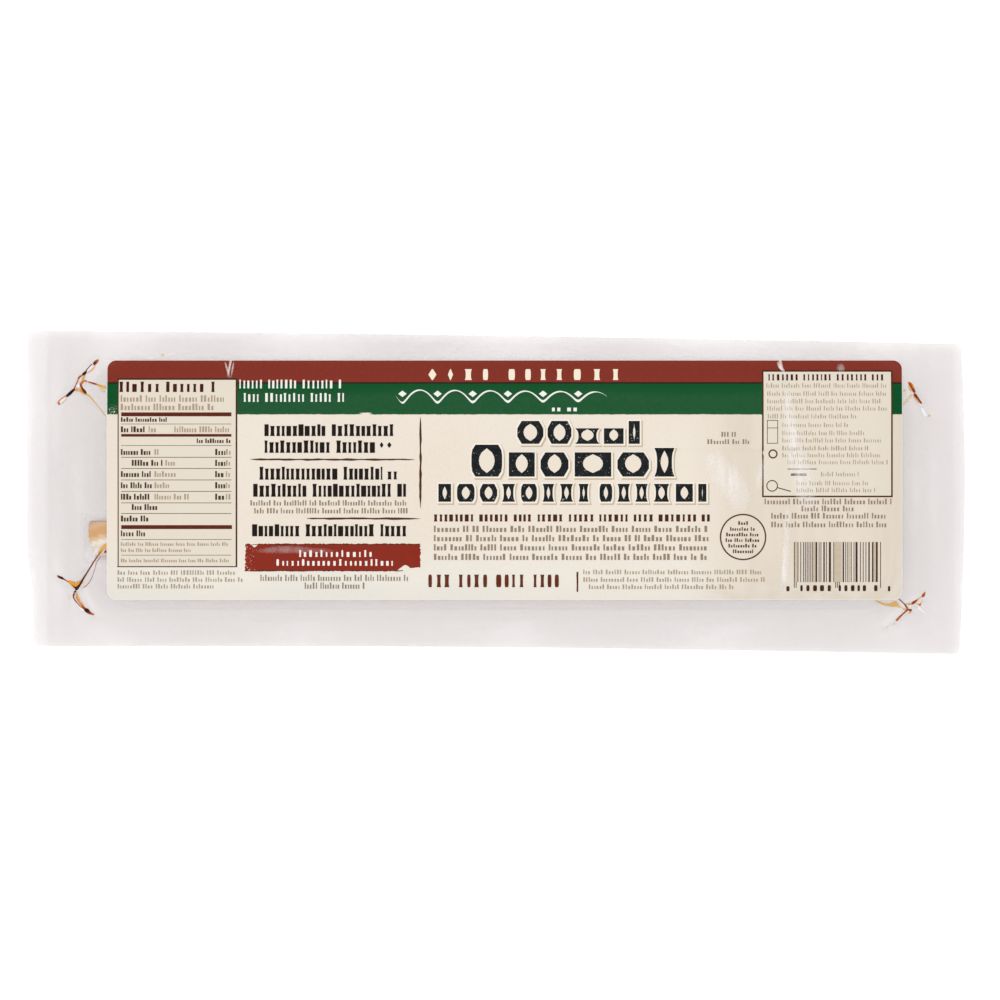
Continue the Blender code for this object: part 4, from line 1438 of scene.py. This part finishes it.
class LabelLooks(bpy.types.PropertyGroup):
    cream: colour_setting("Cream", "Colour of the label's ground", lit(232, 221, 206))
    pale_cream: colour_setting(
        "Pale cream", "Colour of the ground along the lower edge", lit(230, 226, 217)
    )
    brown: colour_setting("Brown band", "Colour of the upper band", lit(131, 50, 36))
    green: colour_setting("Green band", "Colour of the lower band", lit(2, 76, 34))


class StageLooks(bpy.types.PropertyGroup):
    floor: colour_setting("Floor", "Colour of the floor", (0.96, 0.96, 0.96, 1))
    sky: bpy.props.FloatProperty(
        name="Sky", description="Brightness of the even light from all round", default=1.08, min=0,
    )
    lamp: bpy.props.FloatProperty(
        name="Lamp", description="Power of the large soft lamp", default=34.0, min=0, unit="POWER",
    )


# Operators


class PACK_OT_pouch(bpy.types.Operator):
    """Make the clear film pouch with its welded rim and puckered corners"""

    bl_idname = "pack.pouch"
    bl_label = "Film pouch"

    def execute(self, context):
        dress(pouch_skin(), film_finish(context.scene.film_looks), "clear_film", "film_pack")
        return {"FINISHED"}


class PACK_OT_slices(bpy.types.Operator):
    """Make the stacked slices inside the pouch"""

    bl_idname = "pack.slices"
    bl_label = "Slices"

    def execute(self, context):
        dress(slices(), bacon_finish(context.scene.slice_looks), "clear_film", "film_pack")
        dress(slice_end(), slice_end_finish(), "clear_film", "film_pack")
        return {"FINISHED"}


class PACK_OT_juice(bpy.types.Operator):
    """Make the threads of juice drawn into the puckered corners, with painted white highlights among
    them
    """

    bl_idname = "pack.juice"
    bl_label = "Juice"

    def execute(self, context):
        piece = dress(juice(), juice_finish(), "clear_film", "film_pack")
        piece.visible_shadow = False
        return {"FINISHED"}


class PACK_OT_label(bpy.types.Operator):
    """Make the label's paper and its printed ground with the two bands"""

    bl_idname = "pack.label"
    bl_label = "Label"

    def execute(self, context):
        paper = label_sheet("label_paper_sheet", 0.0, 0.0, PAPER_THICKNESS)
        dress(paper, paper_finish(), "label_paper", "label")
        ground = label_sheet("label_ground", PAPER_MARGIN, INK_RISE, INK_THICKNESS)
        dress(ground, ground_finish(context.scene.label_looks), "label_paper", "label")
        return {"FINISHED"}


class PACK_OT_panels(bpy.types.Operator):
    """Print the two cream panels, their frames and all the rules"""

    bl_idname = "pack.panels"
    bl_label = "Panels and rules"

    def execute(self, context):
        cream = ink_finish("panel_cream", lit(226, 216, 200))
        lay_print("panel_grounds", [plate(*PANEL), plate(*NOTICE)], 1, cream)
        thin = box_frame(*PANEL, 0.58, 0.62) + box_frame(*NOTICE, 0.55)
        thin += [strip((5.2, down), (44.6, down), 0.16) for down in PANEL_RULES]
        thin += [strip((5.2, down), (44.6, down), 0.2) for down in ROW_RULES]
        thin += [
            strip((51.3, 35.6), (110.1, 35.6), 0.62, 0.35, 3, seed=1),
            strip((71.5, 56.7), (112.2, 56.7), 0.62, 0.35, 3, seed=2),
            strip((112.2, 20.4), (112.2, 53.0), 0.72, 0.35, 3, seed=3),
            strip((49.6, 66.0), (112.2, 65.9), 0.26, 0.5, seed=4),
            strip((49.8, 75.35), (106.0, 75.4), 0.26, 0.5, seed=5),
        ]
        lay_print("thin_rules", thin, 2, ink_finish("rule_brown", lit(72, 36, 14), tone=0.04))
        heavy = [
            strip((5.2, 19.45), (44.6, 19.45), 1.4),
            strip((5.2, 26.95), (44.6, 26.95), 0.95),
            strip((5.2, 59.75), (44.8, 59.75), 1.4),
            strip((168.3, 75.8), (168.3, 82.9), 0.6, 0.2),
        ]
        lay_print("heavy_rules", heavy, 2, ink_finish("rule_red_brown", lit(90, 26, 2), tone=0.04))
        return {"FINISHED"}


class PACK_OT_small_print(bpy.types.Operator):
    """Print the small lines as rows of fine upright marks"""

    bl_idname = "pack.small_print"
    bl_label = "Small print"

    def execute(self, context):
        pale = print_lines(SMALL_LINES, 0.95, 200, share=0.5)
        pale += print_lines(NOTICE_LINES, 0.8, 250, share=0.38)
        body = print_lines(BODY_LINES, 0.95, 220, share=0.5)
        body += print_lines(STORY_LINES, 1.3, 230, words=(2, 8))
        body += print_lines(ADDRESS_LINES, 1.05, 270, share=0.5)
        dark = []
        for number, (left, right, middle) in enumerate(ROWS):
            end = min(right, left + 11)
            dark.append(marks(left, end, middle, 2.1, 0.95, 300 + number, share=0.66))
            if right > left + 12:
                pale.append(marks(left + 12, right, middle, 2.0, 0.95, 320 + number))
            if number < 5:
                dark.append(marks(38.8, 42.4, middle, 2.2, 1.1, 340 + number, share=0.66))
                pale.append(marks(42.6, 44.5, middle, 2.0, 1.0, 350 + number))
        pale += [
            marks(5.0, 41.9, 13.8, 2.3, 1.15, 361),
            marks(5.0, 38.6, 16.8, 2.3, 1.15, 362),
            marks(24.2, 44.4, 24.8, 2.1, 0.95, 363),
            marks(15.0, 17.6, 24.8, 2.1, 0.95, 364),
            marks(5.1, 43.4, 65.8, 1.3, 0.72, 365),
            marks(5.1, 30.0, 68.0, 1.3, 0.72, 366),
            marks(5.1, 43.6, 71.7, 1.3, 0.72, 367),
        ]
        dark += [
            marks(5.1, 21.8, 21.3, 1.6, 0.85, 371, share=0.66),
            marks(5.1, 14.2, 24.8, 2.1, 1.0, 372, share=0.66),
            marks(32.2, 44.4, 28.9, 1.6, 0.85, 373, share=0.66),
            marks(5.1, 14.1, 62.0, 2.1, 0.95, 374),
        ]
        pale_ink = ink_finish("ink_pale_brown", lit(170, 150, 126), tone=0.12)
        lay_print("small_print_pale", pale, 2, pale_ink)
        body_ink = ink_finish("ink_body_brown", lit(142, 124, 104), tone=0.1)
        lay_print("small_print_body", body, 2, body_ink)
        lay_print("small_print_dark", dark, 2, ink_finish("ink_dark_brown", lit(68, 38, 20)))
        return {"FINISHED"}


class PACK_OT_headings(bpy.types.Operator):
    """Print the bold lines as rows of slab blocks, in black, brown and rust"""

    bl_idname = "pack.headings"
    bl_label = "Headings"

    def execute(self, context):
        kinds = ("bar", "spool", "spool")
        black = print_lines(HEADINGS, 1.95, 400, profiles=kinds, share=0.75, words=(9, 15),
                            short=0.86, rows=8, space=0.9)
        black += [
            marks(100.4, 104.6, 41.3, 2.8, 2.2, 410, kinds, share=0.6, words=(2, 2),
                  short=1.0, rows=8),
            marks(97.6, 102.9, 30.4, 1.9, 3.1, 411, ("lozenge",), share=0.6, words=(2, 2),
                  short=1.0, rows=8),
        ]
        lay_print("headings_black", black, 2, ink_finish("ink_black", lit(20, 8, 2), tone=0.02))
        kinds = ("bar", "spool")
        brown = [
            marks(4.5, 39.4, 9.6, 3.7, 2.5, 420, kinds, share=0.5, words=(6, 8),
                  short=0.78, rows=8, space=0.6),
            marks(117.0, 215.6, 56.5, 2.5, 1.9, 421, kinds, share=0.6, words=(4, 8),
                  short=1.0, rows=6),
            marks(236.6, 278.8, 6.2, 2.2, 1.6, 423, kinds, share=0.44, words=(5, 8),
                  short=1.0, rows=6),
        ]
        lay_print("headings_brown", brown, 2, ink_finish("ink_brown", lit(66, 22, 8), tone=0.04))
        kinds = ("spool", "barrel")
        rust = [marks(115.0, 165.2, 79.0, 4.5, 2.9, 422, kinds, share=0.5, words=(2, 4),
                      short=1.0, rows=8, space=0.7)]
        lay_print("headings_rust", rust, 2, ink_finish("ink_rust", lit(96, 38, 6), tone=0.05))
        return {"FINISHED"}


class PACK_OT_title(bpy.types.Operator):
    """Print the large worn title ornaments with their cream halo and soft shadow"""

    bl_idname = "pack.title"
    bl_label = "Title ornaments"

    def execute(self, context):
        tan = ink_finish("title_tan", lit(196, 178, 152))
        lay_print("title_shadow", title_rows(0.62, (0.45, 0.5)), 1, tan)
        cream = ink_finish("title_cream", lit(243, 234, 220))
        lay_print("title_halo", title_rows(0.6), 2, cream)
        worn = ink_finish("title_ink", lit(8, 15, 19), wear=0.035, under=lit(206, 198, 186),
                          scale=1.1, tone=0.04)
        lay_print("title_face", title_rows(0.0), 3, worn)
        eyes = title_rows(-0.45, forced="oval", more=-0.075)
        lay_print("title_eyes", eyes, 4, ink_finish("title_eye", lit(233, 222, 206)))
        return {"FINISHED"}


class PACK_OT_patch(bpy.types.Operator):
    """Print the ragged red patch and the pale lines on it and on the bands"""

    bl_idname = "pack.patch"
    bl_label = "Patch and pale print"

    def execute(self, context):
        lay_print("red_patch", [ragged_patch(*PATCH)], 1, patch_finish())
        kinds = ("bar", "spool", "barrel")
        white = [
            marks(68.8, 95.2, 69.2, 2.4, 1.9, 600, kinds, share=0.42, words=(15, 15),
                  short=0.72, rows=6),
            marks(60.7, 102.6, 72.4, 2.3, 1.9, 601, kinds, share=0.42, words=(25, 25),
                  short=0.72, rows=6),
            marks(47.4, 84.4, 8.6, 3.1, 1.55, 602, ("bar", "spool"), share=0.44, words=(3, 8),
                  short=0.9, rows=4, space=1.0),
            marks(49.0, 84.8, 13.4, 3.1, 1.6, 603, ("bar", "spool"), share=0.46, words=(3, 9),
                  short=0.86, rows=4, space=1.0),
            marks(159.2, 168.4, 17.7, 1.3, 2.0, 604, ("bar",), share=0.6, words=(2, 2),
                  short=1.0, rows=2),
            flourish(102.6, 178.0, 13.0, 2.6),
        ]
        lay_print("white_print", white, 2, ink_finish("ink_white", lit(240, 238, 232)))
        kinds = ("spool", "lozenge", "barrel")
        cream = [marks(115.0, 185.0, 5.2, 3.9, 6.4, 605, kinds, share=0.37, words=(3, 7),
                       short=1.0, rows=10, space=0.6)]
        lay_print("cream_marks", cream, 2, ink_finish("ink_cream", lit(244, 230, 208)))
        return {"FINISHED"}


class PACK_OT_painted_glints(bpy.types.Operator):
    """Lay the painted highlights of the clear film's creases over the print"""

    bl_idname = "pack.creases"
    bl_label = "Painted glints"

    def execute(self, context):
        glints = [ribbon(points) for points in PAINTED_GLINTS]
        piece = lay_print("label_painted_glints", glints, 4, painted_glint_finish())
        piece.visible_shadow = False
        return {"FINISHED"}


class PACK_OT_stamp(bpy.types.Operator):
    """Print the ring stamp, the small symbols and the upright scanning bars"""

    bl_idname = "pack.stamp"
    bl_label = "Stamp and bars"

    def execute(self, context):
        middle, level = STAMP
        made = [ring(middle, level, 8.05, 0.5)]
        for number, (offset, half) in enumerate(STAMP_LINES):
            made.append(marks(middle - half, middle + half, level + offset, 1.3, 0.85, 700 + number))
        made += box_frame(236.2, 21.6, 239.9, 29.8, 0.22)
        made += [
            strip((236.2, 24.3), (239.9, 24.3), 0.22),
            ring(238.2, 33.6, 1.4, 0.5),
            ring(237.9, 45.0, 1.9, 0.35),
            strip((239.6, 45.6), (244.6, 47.0), 0.35),
            strip((243.4, 39.0), (253.8, 39.0), 0.3),
            strip((244.6, 41.0), (250.2, 41.0), 0.9),
        ]
        lay_print("stamp_and_symbols", made, 2, ink_finish("ink_stamp", lit(78, 44, 24)))
        bars = [
            scan_bars(*BARS),
            marks(248.0, 276.0, 81.6, 2.1, 2.3, 720, ("barrel",), share=0.5, words=(5, 5),
                  short=1.0, rows=6),
            marks(243.0, 244.4, 81.8, 1.8, 2.0, 721, ("barrel",), share=0.5, words=(1, 1),
                  short=1.0, rows=6),
            marks(279.4, 280.8, 81.8, 1.8, 2.0, 722, ("barrel",), share=0.5, words=(1, 1),
                  short=1.0, rows=6),
        ]
        lay_print("scan_bars", bars, 2, ink_finish("ink_bars", lit(62, 32, 14)))
        worn = [plate(left, 65.1, right, 79.3) for left, right in WORN_BARS]
        worn_ink = ink_finish("ink_faded", lit(196, 180, 156), tone=0.15)
        lay_print("faded_bars", worn, 3, worn_ink)
        return {"FINISHED"}


class PACK_OT_stage(bpy.types.Operator):
    """Make the floor, the soft light and the camera"""

    bl_idname = "pack.stage"
    bl_label = "Stage"

    def execute(self, context):
        looks = context.scene.stage_looks
        scene = context.scene
        deselect_all()
        bpy.ops.mesh.primitive_plane_add(size=FLOOR_SIZE, location=(0, 0, FLOOR_LEVEL))
        floor = context.object
        floor.name = "floor"
        finish = Finish("floor", Roughness=0.9)
        floor.data.materials.append(finish.surface(Base_Color=tuple(looks.floor)))
        world = bpy.data.worlds.new("soft_sky")
        world.use_nodes = True
        sky = world.node_tree.nodes["Background"].inputs
        sky["Color"].default_value = (1, 1, 1, 1)
        sky["Strength"].default_value = looks.sky
        scene.world = world
        bpy.ops.object.light_add(type="AREA", location=LAMP_PLACE)
        lamp = context.object
        lamp.name = "soft_lamp"
        lamp.data.energy, lamp.data.size = looks.lamp, LAMP_SIZE
        lamp.rotation_euler = (math.radians(LAMP_TILT[0]), math.radians(LAMP_TILT[1]), 0)
        bpy.ops.object.camera_add(location=(*LOOK_AT, CAMERA_HEIGHT), rotation=(0, 0, 0))
        camera = context.object
        camera.data.sensor_width = SENSOR
        camera.data.lens = SENSOR * (CAMERA_HEIGHT - SLAB_TOP) / FRAME_WIDTH
        scene.camera = camera
        scene.view_settings.view_transform = "Standard"
        return {"FINISHED"}


class PACK_PT_panel(bpy.types.Panel):
    """The steps that build the pack, in order"""

    bl_idname = "PACK_PT_panel"
    bl_label = "Bacon Pack"
    bl_space_type = "VIEW_3D"
    bl_region_type = "UI"
    bl_category = "Bacon Pack"

    def draw(self, context):
        for operator in OPERATORS:
            self.layout.operator(operator.bl_idname)
        for name in LOOKS:
            box = self.layout.box()
            looks = getattr(context.scene, name)
            for key in looks.__annotations__:
                box.prop(looks, key)


OPERATORS = (
    PACK_OT_stage, PACK_OT_pouch, PACK_OT_slices, PACK_OT_juice, PACK_OT_label, PACK_OT_panels,
    PACK_OT_small_print, PACK_OT_headings, PACK_OT_title, PACK_OT_patch, PACK_OT_stamp,
    PACK_OT_painted_glints,
)
LOOKS = {
    "film_looks": FilmLooks, "slice_looks": SliceLooks, "label_looks": LabelLooks,
    "stage_looks": StageLooks,
}


def register():
    for group in (*LOOKS.values(), *OPERATORS, PACK_PT_panel):
        bpy.utils.register_class(group)
    for name, group in LOOKS.items():
        setattr(bpy.types.Scene, name, bpy.props.PointerProperty(type=group))


def unregister():
    for name in LOOKS:
        delattr(bpy.types.Scene, name)
    for group in reversed((*LOOKS.values(), *OPERATORS, PACK_PT_panel)):
        bpy.utils.unregister_class(group)


def main():
    register()
    bpy.ops.pack.stage()
    bpy.ops.pack.pouch()
    bpy.ops.pack.slices()
    bpy.ops.pack.juice()
    bpy.ops.pack.label()
    bpy.ops.pack.panels()
    bpy.ops.pack.small_print()
    bpy.ops.pack.headings()
    bpy.ops.pack.title()
    bpy.ops.pack.patch()
    bpy.ops.pack.stamp()
    bpy.ops.pack.creases()


if __name__ == "__main__":
    main()
